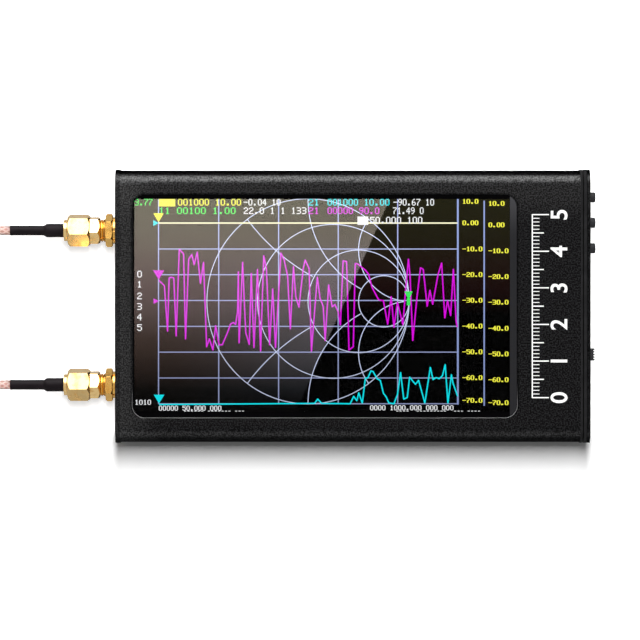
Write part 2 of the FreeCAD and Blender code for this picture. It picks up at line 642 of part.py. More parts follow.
def board_chips():
    piece = Piece("board_chips")
    for x, y, length, width, height in CHIPS:
        piece.box((f"{x} - {length} / 2", f"{y} - {width} / 2", BOARD_TOP), (length, width, height))
    # battery connector, under the board
    piece.box(("battery_length / 2 + wire_long", "wire_side - wire_apart", f"{BOARD_BOTTOM} - wire_height"),
              ("wire_apart * 1.5", "2 * wire_apart", "wire_height"))


def battery_cell():
    piece = Piece("battery_cell")
    piece.box(("-battery_length / 2", "-battery_width / 2", "wall"),
              ("battery_length", "battery_width", "battery_thick"))
    ends = value("-battery_length / 2"), value("battery_length / 2")
    piece.round_off("battery_edge", lambda box: along_x(box, *ends))


def battery_leads():
    piece = Piece("battery_leads")
    for sign in (1, -1):
        side = f"wire_side + {sign} * wire_apart / 2"
        piece.rod(("battery_length / 2", side, "wire_height"), "wire_radius", "wire_long")


def usb_socket():
    """Drawn metal shell, open to the right, with a contact tongue inside."""
    piece = Piece("usb_socket")
    start = f"({CASE_END} - lip_gap - socket_depth)"
    piece.box((start, "socket_middle - socket_width / 2", f"{SOCKET_HEIGHT} - socket_tall / 2"),
              ("socket_depth", "socket_width", "socket_tall"))
    ends = value(start), value(f"{start} + socket_depth")
    piece.round_off("socket_tall * 0.49", lambda box: along_x(box, *ends))
    slot(piece, f"{start} + 2 * socket_sheet", "socket_depth", "(socket_tall / 2 - socket_sheet)")
    low = f"{SOCKET_HEIGHT} - tongue_thick / 2"
    piece.box((f"{start} + socket_sheet", "socket_middle - tongue_width / 2", low),
              ("tongue_long", "tongue_width", "tongue_thick"))


def status_lights():
    """Two clear light pipes, each with a foot on the board."""
    piece = Piece("status_lights")
    for number in range(2):
        across = f"(light_first - {number} * light_pitch)"
        piece.rod((f"{CASE_END} - light_long", across, "slider_height"), "light_radius", "light_long")
        piece.box((f"{CASE_END} - light_long - light_foot / 2", f"{across} - light_radius", BOARD_TOP),
                  ("light_foot", "2 * light_radius", f"slider_height + light_radius - {BOARD_TOP}"))


# --- buttons and slider -------------------------------------------------------------------------------------

def button(number):
    """A push button: the plunger of its own switch, with a flange that keeps it in."""
    piece = Piece(f"button_{number + 1}", ("0", f"button_first + {number} * button_pitch", "button_height"))
    end = f"({CASE_END} + button_out)"
    piece.rod(("flange_back", "0", "0"), "button_radius", f"{end} - flange_back")
    piece.rod(("flange_back", "0", "0"), "button_radius + flange_step", "flange_long")
    tip = value(end)
    piece.round_off("button_edge", lambda box: abs(box.XMin - tip) < EPS and box.XLength < EPS)


def tact_switches():
    """Housings of the three push switches, each a box with a round well for its plunger."""
    piece = Piece("tact_switches")
    well = "(flange_back - button_travel - dome_tall)"
    for number in range(3):
        across = f"(button_first + {number} * button_pitch)"
        piece.box(("switch_back", f"{across} - tact_width / 2", BOARD_TOP),
                  ("switch_front - switch_back", "tact_width", "tact_tall"))
        piece.rod((well, across, "button_height"), "button_radius + flange_step + lip_gap",
                  f"switch_front - switch_wall - {well}", cut=True)
        piece.rod((well, across, "button_height"), "button_radius + guide_gap", "switch_front - switch_back",
                  cut=True)


def power_slider():
    """Knob with four grip grooves, on a stem that goes into the switch."""
    piece = Piece("power_slider", ("0", "slider_middle", "slider_height"))
    end = f"({CASE_END} + slider_out)"
    piece.box((f"{end} - slider_deep", "-slider_width / 2", "-slider_tall / 2"),
              ("slider_deep", "slider_width", "slider_tall"))
    piece.box((f"{end} - stem_deep", "-stem_width / 2", "-stem_tall / 2"),
              ("stem_deep - slider_deep / 2", "stem_width", "stem_tall"))
    for number in range(4):
        piece.box((f"{end} - grip_deep", f"({number} - 1.5) * grip_pitch - grip_width / 2", "-slider_tall"),
                  ("1", "grip_width", "2 * slider_tall"), cut=True)


def slide_switch_body():
    piece = Piece("slide_switch_body")
    middle = "(slider_middle + slider_travel / 2)"
    piece.box(("switch_back", f"{middle} - slide_switch_width / 2", BOARD_TOP),
              ("switch_front - switch_back", "slide_switch_width", "slide_switch_tall"))
    low = f"{middle} - (stem_width + slider_travel) / 2 - button_gap"
    piece.box(("switch_back + switch_wall", low, "slider_height - stem_tall / 2 - lip_gap"),
              ("switch_front", "stem_width + slider_travel + 2 * button_gap", "stem_tall + 2 * lip_gap"),
              cut=True)


# --- ports, plugs and leads ---------------------------------------------------------------------------------

PORT_SIDES = (("1", "port_1_side"), ("2", "port_2_side"))


def port(number, side):
    """A coaxial jack on the edge of the board. Along its own X, lengths run outward from the port plate."""
    at = ("-case_length / 2", side, "axis_height")
    inner, back = "-port_plate", "(board_end - case_length / 2)"
    body = Piece(f"port_{number}_body", at, TO_LEFT)
    body.turned([[(back, "dielectric"), (back, "port_flange"), (inner, "port_flange"),
                  (inner, "thread_radius"), ("port_end", "thread_radius"), ("port_end", "port_mouth"),
                  ("port_seat", "port_mouth"), ("port_seat", "dielectric")]])
    for sign in (1, -1):
        for low in (f"{BOARD_TOP} - axis_height", f"{BOARD_BOTTOM} - axis_height - leg_size"):
            body.box((f"{back} - leg_long", f"{sign} * leg_side - leg_size / 2", low),
                     ("leg_long", "leg_size", "leg_size"))
    first, half = "(panel_nut_end - 2 * thread_pitch)", "thread_pitch * 0.45"
    crest = "thread_radius + seat_gap"
    groove = body.turned([[(f"{first} - {half}", crest), (first, "thread_radius - thread_deep"),
                           (f"{first} + {half}", crest)]], cut=True)
    body.repeat(groove, "thread_pitch", int(value("thread_count")))

    insulator = Piece(f"port_{number}_insulator", at, TO_LEFT)
    insulator.turned([[(back, "contact_radius"), (back, "dielectric"), ("port_seat", "dielectric"),
                       ("port_seat", "contact_radius")]])

    contact = Piece(f"port_{number}_contact", at, TO_LEFT)
    tail, tip, bottom = f"({back} - leg_long)", "port_seat - lip_gap / 2", "port_seat - contact_deep"
    contact.turned([[(tail, "0"), (tail, "tail_radius"), (back, "tail_radius"), (back, "contact_radius"),
                     (tip, "contact_radius"), (tip, "contact_bore"), (bottom, "contact_bore"),
                     (bottom, "0")]])

    washer = Piece(f"port_{number}_washer", at, TO_LEFT)
    hole, rim, reach = "thread_radius + nut_gap", "(washer_radius - washer_bite)", "(washer_notch / 2)"
    washer.turned([[("0", hole), ("0", "washer_radius"), ("washer_thick", "washer_radius"),
                    ("washer_thick", hole)]])
    for angle in range(0, 360, 45):
        notch = washer.feature("SubtractiveBox", Length="3 * washer_thick", Width="washer_notch", Height="1")
        across = f"-{reach} * cos({angle}) - {rim} * sin({angle})"
        up = f"{rim} * cos({angle}) - {reach} * sin({angle})"
        place(notch, ("-washer_thick", across, up), FreeCAD.Rotation(Vector(1, 0, 0), angle))

    nut = Piece(f"port_{number}_nut", at, TO_LEFT)
    hexagon_bar(nut, "washer_thick", "panel_nut_end", "nut_flats", 30, "panel_nut_bevel")
    nut.rod(("0", "0", "0"), hole, "panel_nut_end + 1", cut=True)


def hexagon_bar(piece, start, end, flats, angle, bevel):
    """A hexagonal bar along its own X with its corners bevelled at both ends."""
    piece.hexagon((start, "0", "0"), flats, f"{end} - {start}", angle)
    corner = f"({flats} / 2 / cos(30))"
    low, high = f"({corner} - {bevel})", f"({corner} + 1)"
    piece.turned([[(start, low), (start, high), (f"{start} + {bevel} + 1", high)],
                  [(end, low), (end, high), (f"{end} - {bevel} - 1", high)]], cut=True)


def plug(prefix, at, turn, main_angle, front_angle):
    """A coaxial plug. Its coupling nut turns freely on the neck of its body."""
    body = Piece(prefix + "_body", at, turn)
    seat = "port_seat + seat_gap"
    body.turned([[(seat, "dielectric"), (seat, "plug_shell"), ("plug_flange_start", "plug_shell"),
                  ("plug_flange_start", "plug_flange"), ("plug_flange_end", "plug_flange"),
                  ("plug_flange_end", "neck_radius"), ("collar_start", "neck_radius"),
                  ("collar_start", "collar_radius"), ("collar_end", "collar_radius"),
                  ("collar_end", "ferrule_radius"), ("ferrule_end", "ferrule_radius"), ("ferrule_end", "0"),
                  ("plug_bottom", "0"), ("plug_bottom", "dielectric")]])

    nut = Piece(prefix + "_nut", at, turn)
    hexagon_bar(nut, "hex_start", "hex_end", "nut_flats", main_angle, "hex_bevel")
    nut.hexagon(("plug_front", "0", "0"), "front_flats", "hex_start - plug_front", front_angle)
    corner = "front_flats / 2 / cos(30)"
    nut.turned([[("plug_front", f"{corner} - front_bevel"), ("plug_front", f"{corner} + front_bevel"),
                 ("plug_front + 2 * front_bevel", f"{corner} + front_bevel")]], cut=True)
    loose = "neck_radius + neck_gap"
    nut.turned([[("plug_front - 1", "0"), ("plug_front - 1", "nut_bore"), ("nut_back", "nut_bore"),
                 ("nut_back", loose), ("hex_end + 1", loose), ("hex_end + 1", "0")]], cut=True)

    sleeve = Piece(prefix + "_sleeve", at, turn)
    step = ("sleeve_step - sleeve_slope", "sleeve_thick"), ("sleeve_step + sleeve_slope", "sleeve_thin")
    sleeve.turned([[("collar_end", "ferrule_radius"), ("collar_end", "sleeve_thick"), *step,
                    ("sleeve_end", "sleeve_thin"), ("sleeve_end", "0"), ("ferrule_end", "0"),
                    ("ferrule_end", "ferrule_radius")]])


def plug_cores(prefix, at, turn):
    """Centre pins and dielectrics of the two plugs at one end of the leads."""
    pins = Piece(prefix + "_pins", at, turn)
    insulators = Piece(prefix + "_insulators", at, turn)
    deep = "plug_bottom - port_seat"
    for across in ("0", "port_1_side - port_2_side"):
        pins.rod(("port_seat - pin_long", across, "0"), "pin_radius", "pin_long + lip_gap")
        pins.rod(("port_seat", across, "0"), "contact_radius", deep)
        insulators.rod(("port_seat + seat_gap", across, "0"), "dielectric", f"{deep} - seat_gap")
        insulators.rod(("port_seat", across, "0"), "contact_radius", "plug_bottom", cut=True)


def rounded_path(spots):
    """Straight runs joined by tangent arcs: each arc takes 0.45 of the shorter run beside it."""
    edges, radii, last = [], [], spots[0]
    for before, spot, after in zip(spots, spots[1:], spots[2:]):
        to_before, to_after = before - spot, after - spot
        reach = 0.45 * min(to_before.Length, to_after.Length)
        half_turn = (math.pi - to_before.getAngle(to_after)) / 2
        radii.append(reach / math.tan(half_turn))
        start = spot + to_before.normalize() * reach
        end = spot + to_after.normalize() * reach
        middle = (start + end) * 0.5
        bulge = (spot - middle).normalize() * radii[-1] * (1 - math.cos(half_turn))
        edges += [Part.LineSegment(last, start).toShape(), Part.Arc(start, middle + bulge, end).toShape()]
        last = end
    edges.append(Part.LineSegment(last, spots[-1]).toShape())
    return Part.Wire(edges), radii


def tube(path, start, direction):
    """A solid cord of the cable's radius along a wire."""
    ring = Part.Wire(Part.makeCircle(value("cable_radius"), start, direction))
    solid = path.makePipeShell([ring], True, False)
    print(f"tube: length {path.Length:.2f}, volume {solid.Volume:.2f}, "
          f"section x length {math.pi * value('cable_radius') ** 2 * path.Length:.2f}")
    return solid


NEAR_ANGLES = (45, 50)         # how the two hexagons of a coupling nut have stopped on its port
FAR_ANGLES = (0, 5)            # and on a free plug, which rests on a corner of its nut


def lead(number, side):
    """A coaxial lead: plug on the port, fall to the surface, coil with a tie, and a free plug."""
    near = ("-case_length / 2", side, "axis_height")
    plug(f"cable_{number}_near", near, TO_LEFT, *NEAR_ANGLES)

    exit_x, y, exit_z = value("-case_length / 2 - sleeve_end"), value(side), value("axis_height")
    floor_z, coil_x = value(CABLE_FLOOR), value(COIL_X)
    level, fall = value("level_run"), value("falling_run")
    spots = [Vector(exit_x, y, exit_z), Vector(exit_x - level, y, exit_z),
             Vector(exit_x - level - fall, y, floor_z), Vector(coil_x, y, floor_z)]
    path, radii = rounded_path(spots)
    print(f"cable_{number}: arc radii", [round(radius, 1) for radius in radii])

    # what is left of the lead after the fall and the coil's turns is the tail that goes to the free plug
    free = value("lead_length - 2 * (sleeve_end - plug_front)")
    turns = value("2 * pi * coil_radius * coil_turns")
    tail = free - path.Length - turns
    tilt = math.radians(value("plug_tilt"))
    slope = Vector(math.cos(tilt), 0, -math.sin(tilt))
    top_layer = value(f"{CABLE_FLOOR} + (coil_layers - 1) * 2 * cable_radius")
    tail_start = Vector(coil_x, y + value("2 * coil_radius"), top_layer)
    tail_end = tail_start + slope * tail
    tail_path = Part.Wire(Part.LineSegment(tail_start, tail_end).toShape())
    print(f"cable_{number}: lead {path.Length:.2f}, turns {turns:.2f}, tail {tail:.2f}, free {free:.2f}")
    cable = doc.addObject("Part::Feature", f"cable_{number}")
    NODES.append(cable)
    cable.Shape = Part.makeCompound([tube(path, spots[0], Vector(-1, 0, 0)),
                                     tube(tail_path, tail_start, slope)])

    coil = Piece(f"cable_{number}_coil", (COIL_X, f"{side} + coil_radius", COIL_BOTTOM))
    height = "(coil_layers * 2 * cable_radius)"
    coil.rod(("0", "0", "0"), "coil_radius + cable_radius", height, turn=ALONG_Z)
    coil.rod(("0", "0", "-1"), "coil_radius - cable_radius", f"{height} + 2", cut=True, turn=ALONG_Z)
    coil.round_off("cable_radius * 0.8", lambda box: box.ZLength < EPS)

    tie = Piece(f"cable_{number}_tie", (COIL_X, f"{side} + coil_radius", "0"))
    outer, inner = "(coil_radius + cable_radius + tie_slack)", "(coil_radius - cable_radius - tie_room)"
    tall = f"({height} + tie_slack)"
    tie.box((f"-{outer} - tie_thick", "-tie_width / 2", "0"),
            (f"{outer} - {inner} + 2 * tie_thick", "tie_width", f"{tall} + 2 * tie_thick"))
    tie.box((f"-{outer}", "-tie_width", "tie_thick"), (f"{outer} - {inner}", "2 * tie_width", tall), cut=True)

    # the free plug: its rear end meets the tail, and it leans down to the surface
    turn = FreeCAD.Rotation(Vector(math.sin(tilt / 2), 0, math.cos(tilt / 2)), 180)
    origin = tail_end + slope * value("sleeve_end")
    far = tuple(f"{part:.6f}" for part in origin)
    plug(f"cable_{number}_far", far, turn, *FAR_ANGLES)
    print(f"cable_{number}_far: origin {far}, nut axis ({slope.x:.6f}, 0, {slope.z:.6f})")
    return (near, TO_LEFT), (far, turn)


# --- whole instrument ---------------------------------------------------------------------------------------

top_shell()
shell("bottom_shell", top=False)
port_end_plate()
button_end_frame()
button_end_plate()
end_screws("port_end_screws", LEFT_END, "port_plate")
end_screws("button_end_screws", RIGHT_END, "button_plate + frame_depth")
cover_glass()
lcd_panel()
display_gasket()
display_ribbon()
main_board()
board_standoffs()
board_screws()
rf_shield()
board_chips()
battery_cell()
battery_leads()
usb_socket()
status_lights()
tact_switches()
slide_switch_body()
power_slider()
for count in range(3):
    button(count)
for number, side in PORT_SIDES:
    port(number, side)
placings = [lead(number, side) for number, side in PORT_SIDES]
near, far = placings[0]
plug_cores("near_plug", *near)
plug_cores("far_plug", *far)
doc.recompute()

os.makedirs("parts", exist_ok=True)
for thing in doc.Objects:
    bad = {"Invalid", "Error"} & set(thing.State)
    if bad:
        raise SystemExit(f"{thing.Name} did not build: {sorted(bad)}")
for node in NODES:
    if node.Shape.isNull() or not node.Shape.isValid() or not node.Shape.Solids:
        raise SystemExit(f"{node.Label} has no valid solid")
for node in NODES:
    node.Shape.exportStep(f"parts/{node.Label}.step")
print(len(NODES), "nodes,", sum(len(node.Shape.Solids) for node in NODES), "solids")
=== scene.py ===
"""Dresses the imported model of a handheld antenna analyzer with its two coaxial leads.

Everything is in metres and in the model's own frame: +X to the right of the display, +Y up the display,
+Z out of the glass, with the back of the case on the floor.
"""

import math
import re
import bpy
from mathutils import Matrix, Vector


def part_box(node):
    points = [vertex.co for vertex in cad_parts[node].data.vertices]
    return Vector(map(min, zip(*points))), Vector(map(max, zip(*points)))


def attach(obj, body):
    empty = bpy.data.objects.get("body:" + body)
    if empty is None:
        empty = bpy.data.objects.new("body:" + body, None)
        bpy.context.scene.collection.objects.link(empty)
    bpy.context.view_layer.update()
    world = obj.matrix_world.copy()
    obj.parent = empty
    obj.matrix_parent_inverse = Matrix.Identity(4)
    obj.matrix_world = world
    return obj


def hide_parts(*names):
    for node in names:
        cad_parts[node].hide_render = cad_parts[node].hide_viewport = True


bl_info = {
    "name": "Antenna Analyzer",
    "version": (1, 0, 0),
    "blender": (4, 5, 0),
    "location": "3D View > Sidebar > Analyzer",
    "description": "Finishes a handheld antenna analyzer, its display and its two coaxial leads",
    "category": "Mesh",
}

import bmesh
import bpy
from bpy.props import FloatProperty, FloatVectorProperty, PointerProperty
from mathutils import Matrix, Vector, noise

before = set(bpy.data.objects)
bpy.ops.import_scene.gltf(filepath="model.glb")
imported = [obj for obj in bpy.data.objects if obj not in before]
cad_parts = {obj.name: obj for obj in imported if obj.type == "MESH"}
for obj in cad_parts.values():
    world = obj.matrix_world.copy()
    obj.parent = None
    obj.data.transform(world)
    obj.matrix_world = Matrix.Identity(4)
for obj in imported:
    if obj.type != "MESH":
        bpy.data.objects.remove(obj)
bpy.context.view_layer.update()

MM = 0.001
BLACK, WHITE = (0.0, 0.0, 0.0), (1.0, 1.0, 1.0)
UP = Vector((0.0, 0.0, 1.0))
CASE = "instrument"
CASE_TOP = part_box("top_shell")[1].z
GLASS_LOW, GLASS_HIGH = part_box("cover_glass")
PLATE_LEFT, PLATE_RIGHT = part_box("port_end_plate")[0].x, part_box("button_end_plate")[1].x
PANEL_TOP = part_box("lcd_panel")[1].z
LIT_LEFT, LIT_RIGHT, LIT_TOP, LIT_BOTTOM = -0.05975, 0.04295, 0.0293, -0.02885
COLUMNS, ROWS = 480, 272                # dots of the display
LEAD_SIDES = {1: 20.95, 2: -21.7}       # each port's axis along Y, in millimetres


# --- colours and settings ---

def shade(*levels):
    """A display colour, 0 to 255, as the linear colour that nodes use."""
    return tuple(part / 12.92 if part <= 0.04045 else ((part + 0.055) / 1.055) ** 2.4
                 for part in (level / 255 for level in levels))


def times(colour, factor):
    """A colour made lighter or darker."""
    return tuple(part * factor for part in colour)


def colour_setting(name, description, *levels):
    return FloatVectorProperty(name=name, description=description, subtype="COLOR", size=3, min=0.0, max=1.0,
                               default=shade(*levels))


def length_setting(name, description, millimetres):
    return FloatProperty(name=name, description=description, unit="LENGTH", subtype="DISTANCE", precision=5,
                         min=0.0, default=millimetres * MM)


def number_setting(name, description, default, least=0.0, unit="NONE"):
    return FloatProperty(name=name, description=description, unit=unit, min=least, default=default)


class AnalyzerCase(bpy.types.PropertyGroup):
    coat: colour_setting("Coating", "Powder coat of the shells and end plates", 15, 15, 16)
    grain: length_setting("Grain", "Width of one grain of the powder coat", 0.4)
    relief: length_setting("Relief", "Height of the grains", 0.03)
    print_colour: colour_setting("Print", "Ink of the printed scale", 244, 244, 242)
    edge: length_setting("Edge break", "How far machined edges are rounded", 0.07)
    scale_length: length_setting("Scale length", "Length of the printed scale", 50.0)


class AnalyzerScreen(bpy.types.PropertyGroup):
    grid: colour_setting("Grid", "Grid lines", 178, 190, 240)
    rule: colour_setting("Rules", "Lines beside the level columns", 152, 170, 226)
    chart: colour_setting("Chart", "Circles and arcs of the chart", 216, 226, 255)
    level: colour_setting("Level line", "Line at zero", 255, 252, 212)
    phase: colour_setting("First trace", "Jumping trace", 220, 10, 226)
    gain: colour_setting("Second trace", "Trace along the bottom", 12, 228, 238)
    numbers: colour_setting("Numbers", "Numbers of the two level columns", 255, 252, 76)
    readout: colour_setting("Readouts", "White readouts", 240, 242, 244)
    charge: colour_setting("Charge", "Green readouts", 60, 240, 95)
    line: number_setting("Line width", "Width of a trace, in dots of the display", 1.7, 0.2)


class AnalyzerLeads(bpy.types.PropertyGroup):
    diameter: length_setting("Cable", "Diameter of a cable", 2.5)
    free_length: length_setting("Length", "Cable between its two sleeves", 250.2)
    coil: length_setting("Coil", "Radius of the control points of a coil", 12.74)
    jacket: colour_setting("Jacket", "Cable jacket", 190, 138, 126)
    braid: colour_setting("Braid", "Braid under the jacket", 216, 186, 176)
    sleeve: colour_setting("Sleeve", "Heat-shrink sleeves", 18, 13, 16)
    gold: colour_setting("Gold", "Plating of the plugs", 252, 216, 150)
    port_gold: colour_setting("Port gold", "Plating of the ports and their nuts", 250, 200, 110)
    tie: colour_setting("Tie", "Hook-and-loop tie", 30, 31, 34)


class AnalyzerStudio(bpy.types.PropertyGroup):
    camera_height: length_setting("Camera height", "Camera above the floor", 922.0)
    lens: number_setting("Lens", "Focal length of the camera", 185.3, 1.0, "CAMERA")
    overhead: number_setting("Overhead", "Overhead light", 13.2, unit="POWER")
    facing: number_setting("High panel", "Panel that the gold mirrors", 3.5, unit="POWER")
    horizon: number_setting("Horizon", "Level that shiny surfaces mirror all round", 0.64)
    window: number_setting("Window", "Tall light above the display's top edge", 11.0, unit="POWER")
    sky: number_setting("Surroundings", "Level of the light from all round", 0.15)


GROUPS = {"analyzer_case": AnalyzerCase, "analyzer_screen": AnalyzerScreen, "analyzer_leads": AnalyzerLeads,
          "analyzer_studio": AnalyzerStudio}


# --- shader nodes ---

class Wire:
    """A socket in a material. Sums written with it become Math nodes."""

    def __init__(self, tree, socket=None):
        self.tree, self.socket = tree, socket

    def node(self, kind, setup=None, sockets=None, result=0):
        """Any node: its setup first, then the values or links of its sockets."""
        made = self.tree.nodes.new("ShaderNode" + kind)
        for name, choice in (setup or {}).items():
            if name == "stops":
                stops = made.color_ramp.elements
                while len(stops) < len(choice):
                    stops.new(1.0)
                for stop, (place, colour) in zip(stops, choice):
                    stop.position, stop.color = place, (*colour, 1.0)
            else:
                setattr(made, name, choice)
        for name, given in (sockets or {}).items():
            target = made.inputs[name]
            if isinstance(given, Wire):
                self.tree.links.new(given.socket, target)
            elif target.type == "RGBA":
                target.default_value = (*given, 1.0)
            else:
                target.default_value = given
        return Wire(self.tree, made.outputs[result] if made.outputs else None)

    def maths(self, operation, *values):
        return self.node("Math", {"operation": operation}, dict(enumerate(values)))

    def __add__(self, other):
        return self.maths("ADD", self, other)

    def __sub__(self, other):
        return self.maths("SUBTRACT", self, other)

    def __rsub__(self, other):
        return self.maths("SUBTRACT", other, self)

    def __mul__(self, other):
        return self.maths("MULTIPLY", self, other)

    def __gt__(self, other):
        return self.maths("GREATER_THAN", self, other)

    def __lt__(self, other):
        return self.maths("LESS_THAN", self, other)

    __radd__ = __add__
    __rmul__ = __mul__

    def mixed(self, first, second):
        """The first colour where this value is 0 and the second where it is 1."""
        return self.node("Mix", {"data_type": "RGBA"}, {0: self, 6: first, 7: second}, 2)

    def dimming(self, colour):
        """A colour times this value."""
        return self.node("VectorMath", {"operation": "SCALE"}, {0: colour, "Scale": self})

    def spread(self, low, high, to_low=0.0, to_high=1.0):
        """This value's stretch from low to high, stretched to 0..1 or another stretch, and held at its ends."""
        return self.node("MapRange", {"interpolation_type": "SMOOTHSTEP"},
                         {"Value": self, "From Min": low, "From Max": high, "To Min": to_low, "To Max": to_high})

    def fade(self, low, high):
        """1 below low and 0 above high."""
        return self.spread(low, high, 1.0, 0.0)

    def band(self, low, full, fading, high):
        """1 between full and fading, and 0 below low and above high."""
        return self.spread(low, full) * self.fade(fading, high)

    def output(self, kind):
        """Send this shader to the tree's output."""
        self.node("Output" + kind, None, {"Surface": self})


def place_on(wire, stretch=None):
    """Position on the piece, stretched along its axes where that is asked for."""
    spot = wire.node("TexCoord", result="Object")
    return wire.node("VectorMath", {"operation": "MULTIPLY"}, {0: spot, 1: stretch}) if stretch else spot


def parts(wire, names, vector=None):
    """The named parts of a vector, or of the position on the piece."""
    node = wire.node("SeparateXYZ", None, {0: vector or place_on(wire)}).socket.node
    return [Wire(wire.tree, node.outputs[name]) for name in names]


def rays(wire, *kinds):
    """1 for rays of each kind, and 0 for others."""
    return [wire.node("LightPath", result=f"Is {kind} Ray") for kind in kinds]


def cloud(wire, size, detail=2.0, where=None, rough=0.55):
    """Noise with blotches about this wide, from 0 to 1."""
    return wire.node("TexNoise", None, {"Vector": where or place_on(wire), "Scale": 1.0 / size,
                                        "Detail": detail, "Roughness": rough}, "Fac")


def cells(wire, size, distance="EUCLIDEAN"):
    """Distance from the nearest of many scattered points, which lie about this far apart."""
    return wire.node("TexVoronoi", {"distance": distance}, {"Vector": place_on(wire), "Scale": 1.0 / size},
                     "Distance")


def surface(wire, colour, roughness, relief=None, depth=0.0, **constants):
    """The main shader of a finish. Relief is a height from 0 to 1 and depth its size."""
    sockets = {"Base Color": colour, "Roughness": roughness}
    sockets.update({name.replace("_", " "): given for name, given in constants.items()})
    if relief is not None:
        sockets["Normal"] = wire.node("Bump", None, {"Height": relief, "Strength": 1.0, "Distance": depth})
    return wire.node("BsdfPrincipled", None, sockets)


def finish(name, draw, *details):
    """The material of that name, drawn the first time it is asked for."""
    made = bpy.data.materials.get(name)
    if made is None:
        made = bpy.data.materials.new(name)
        made.use_nodes = True
        made.node_tree.nodes.clear()
        draw(Wire(made.node_tree), *details).output("Material")
    return made


# --- finishes ---

def powder_coat(wire, finer=1.0, painted_sheen_share=1.0):
    """Black sand-grain powder coat, with painted sheen along its top and bottom edges, below the top edge and
    towards the ports, and less elsewhere. Painted shade darkens its outermost edges, and the window's bevel has a
    painted highlight and painted shade.
    """
    case = bpy.context.scene.analyzer_case
    x, y, z = parts(wire, "XYZ")
    grains, slow = cloud(wire, case.grain * finer, 1.5), cloud(wire, 0.006)
    # painted shade: the outermost rows of the rounded bottom and top edges are darkened
    dull = y.spread(-0.0366, -0.0352, 0.7, 1.0) * y.spread(0.0361, 0.0368, 1.0, 0.25)
    tone = grains.spread(0.43, 0.61).mixed(times(case.coat, 0.1), times(case.coat, 2.1))
    tone = dull.mixed(BLACK, tone)

    # the bevel round the window, near its lower edge: a painted highlight along its foot, and painted shade on
    # the slope above that
    window = (y > -0.032) * (x > -0.062) * (x < 0.049) * y.fade(-0.029, -0.021)
    line_foot, slope_foot, slope_top = (CASE_TOP - depth * MM for depth in (0.62, 0.4, 0.04))
    tone = (window * (z < slope_foot) * (z > line_foot)).mixed(tone, shade(148, 148, 149))
    painted_shade_slope = window * (z < slope_top) * (z > slope_foot)
    tone = (0.7 * painted_shade_slope).mixed(tone, BLACK)

    # painted sheen: more coat where highlights and brighter light fall, on the edge bands, below the top edge and
    # towards the ports; the walls' sheen is the coat's own
    top_edge, low_edge = y.band(0.0328, 0.0347, 0.0352, 0.0363), y.band(-0.036, -0.0351, -0.0348, -0.0338)
    under_top, at_ports = y.band(0.022, 0.031, 0.033, 0.0345), x.fade(-0.0645, -0.052)
    painted_and_wall_sheen = wire.maths("MAXIMUM", top_edge, 0.2 + 0.32 * under_top + 0.55 * at_ports) + 0.5 * low_edge
    painted_and_wall_sheen = painted_and_wall_sheen * (0.25 + 0.5 * grains.spread(0.4, 0.6)) * (1 - 0.8 * painted_shade_slope) * y.fade(0.0354, 0.0364)
    ends = (x < PLATE_LEFT + 0.05 * MM) + (x > PLATE_RIGHT - 0.05 * MM)
    walls = wire.maths("MAXIMUM", ends, z.fade(CASE_TOP - 5.2 * MM, CASE_TOP - 3.2 * MM))
    painted_and_wall_sheen = wire.maths("MAXIMUM", painted_and_wall_sheen * y.spread(-0.037, -0.0356, 0.3, 1.0) * painted_sheen_share, 0.75 * walls)
    return surface(wire, tone, 0.62 - 0.1 * grains + 0.06 * slow, grains + 0.25 * slow, case.relief,
                   Specular_IOR_Level=0.0, Coat_Weight=painted_and_wall_sheen, Coat_Roughness=0.36, Coat_IOR=1.8)


def moulded_plastic(wire, colour, size=0.00022, depth=0.00001, base=0.5):
    """Spark-eroded mould texture with slow changes in sheen."""
    fine, slow = cloud(wire, size), cloud(wire, 0.003)
    tone = slow.spread(0.3, 0.7).mixed(times(colour, 0.85), times(colour, 1.2))
    return surface(wire, tone, base + 0.16 * (fine - 0.5) + 0.1 * (slow - 0.5), fine, depth,
                   Specular_IOR_Level=0.15)


def frame_plastic(wire):
    """The end frame's plastic, with painted shade in the groove and in the seam that part it from the metal."""
    (x,) = parts(wire, "X")
    fine, slow = cloud(wire, 0.00022), cloud(wire, 0.003)
    # painted shade: the groove and the seam are nearly black
    groove, seam = (x > 62.9 * MM) * (x < 63.2 * MM), (x > 64.0 * MM) * (x < 64.15 * MM)
    tone = slow.spread(0.3, 0.7).mixed(shade(26, 26, 27), shade(34, 34, 35))
    return surface(wire, (groove + seam).mixed(tone, shade(2, 2, 2)), 0.5 + 0.16 * fine, fine, 0.00001,
                   Specular_IOR_Level=0.06)


def black_oxide(wire):
    """Blackened steel, rubbed brighter in places."""
    rub, fine = cloud(wire, 0.0012, 3.0), cloud(wire, 0.00012)
    tone = rub.spread(0.5, 0.75).mixed(shade(28, 29, 32), shade(96, 96, 98))
    return surface(wire, tone, 0.34 + 0.2 * fine, fine, 0.000006, Metallic=0.9)


def plated_gold(wire, gold):
    """Bright gold over machined brass: faint turning marks, a little tarnish, and small dings."""
    marks = cloud(wire, 0.0001, 1.0, place_on(wire, (1.0, 0.06, 0.06)))
    tarnish, dings = cloud(wire, 0.0022, 3.0), cells(wire, 0.0011)
    brown = [part * share for part, share in zip(gold, (0.86, 0.72, 0.52))]
    rough = 0.13 + 0.16 * tarnish.spread(0.35, 0.8) + 0.05 * marks
    return surface(wire, tarnish.spread(0.45, 0.8).mixed(gold, brown), rough,
                   0.6 * marks + 0.4 * dings.spread(0.0, 0.12), 0.000004, Metallic=1.0)


def metal(wire, colour, roughness, stretch=None):
    """Plain metal with drawing or plating marks and slow stains."""
    marks, stain = cloud(wire, 0.0002, 2.0, place_on(wire, stretch)), cloud(wire, 0.004, 3.0)
    tone = stain.spread(0.35, 0.75).mixed(colour, times(colour, 0.7))
    return surface(wire, tone, roughness + 0.15 * marks + 0.12 * (stain - 0.5), marks, 0.000004, Metallic=1.0)


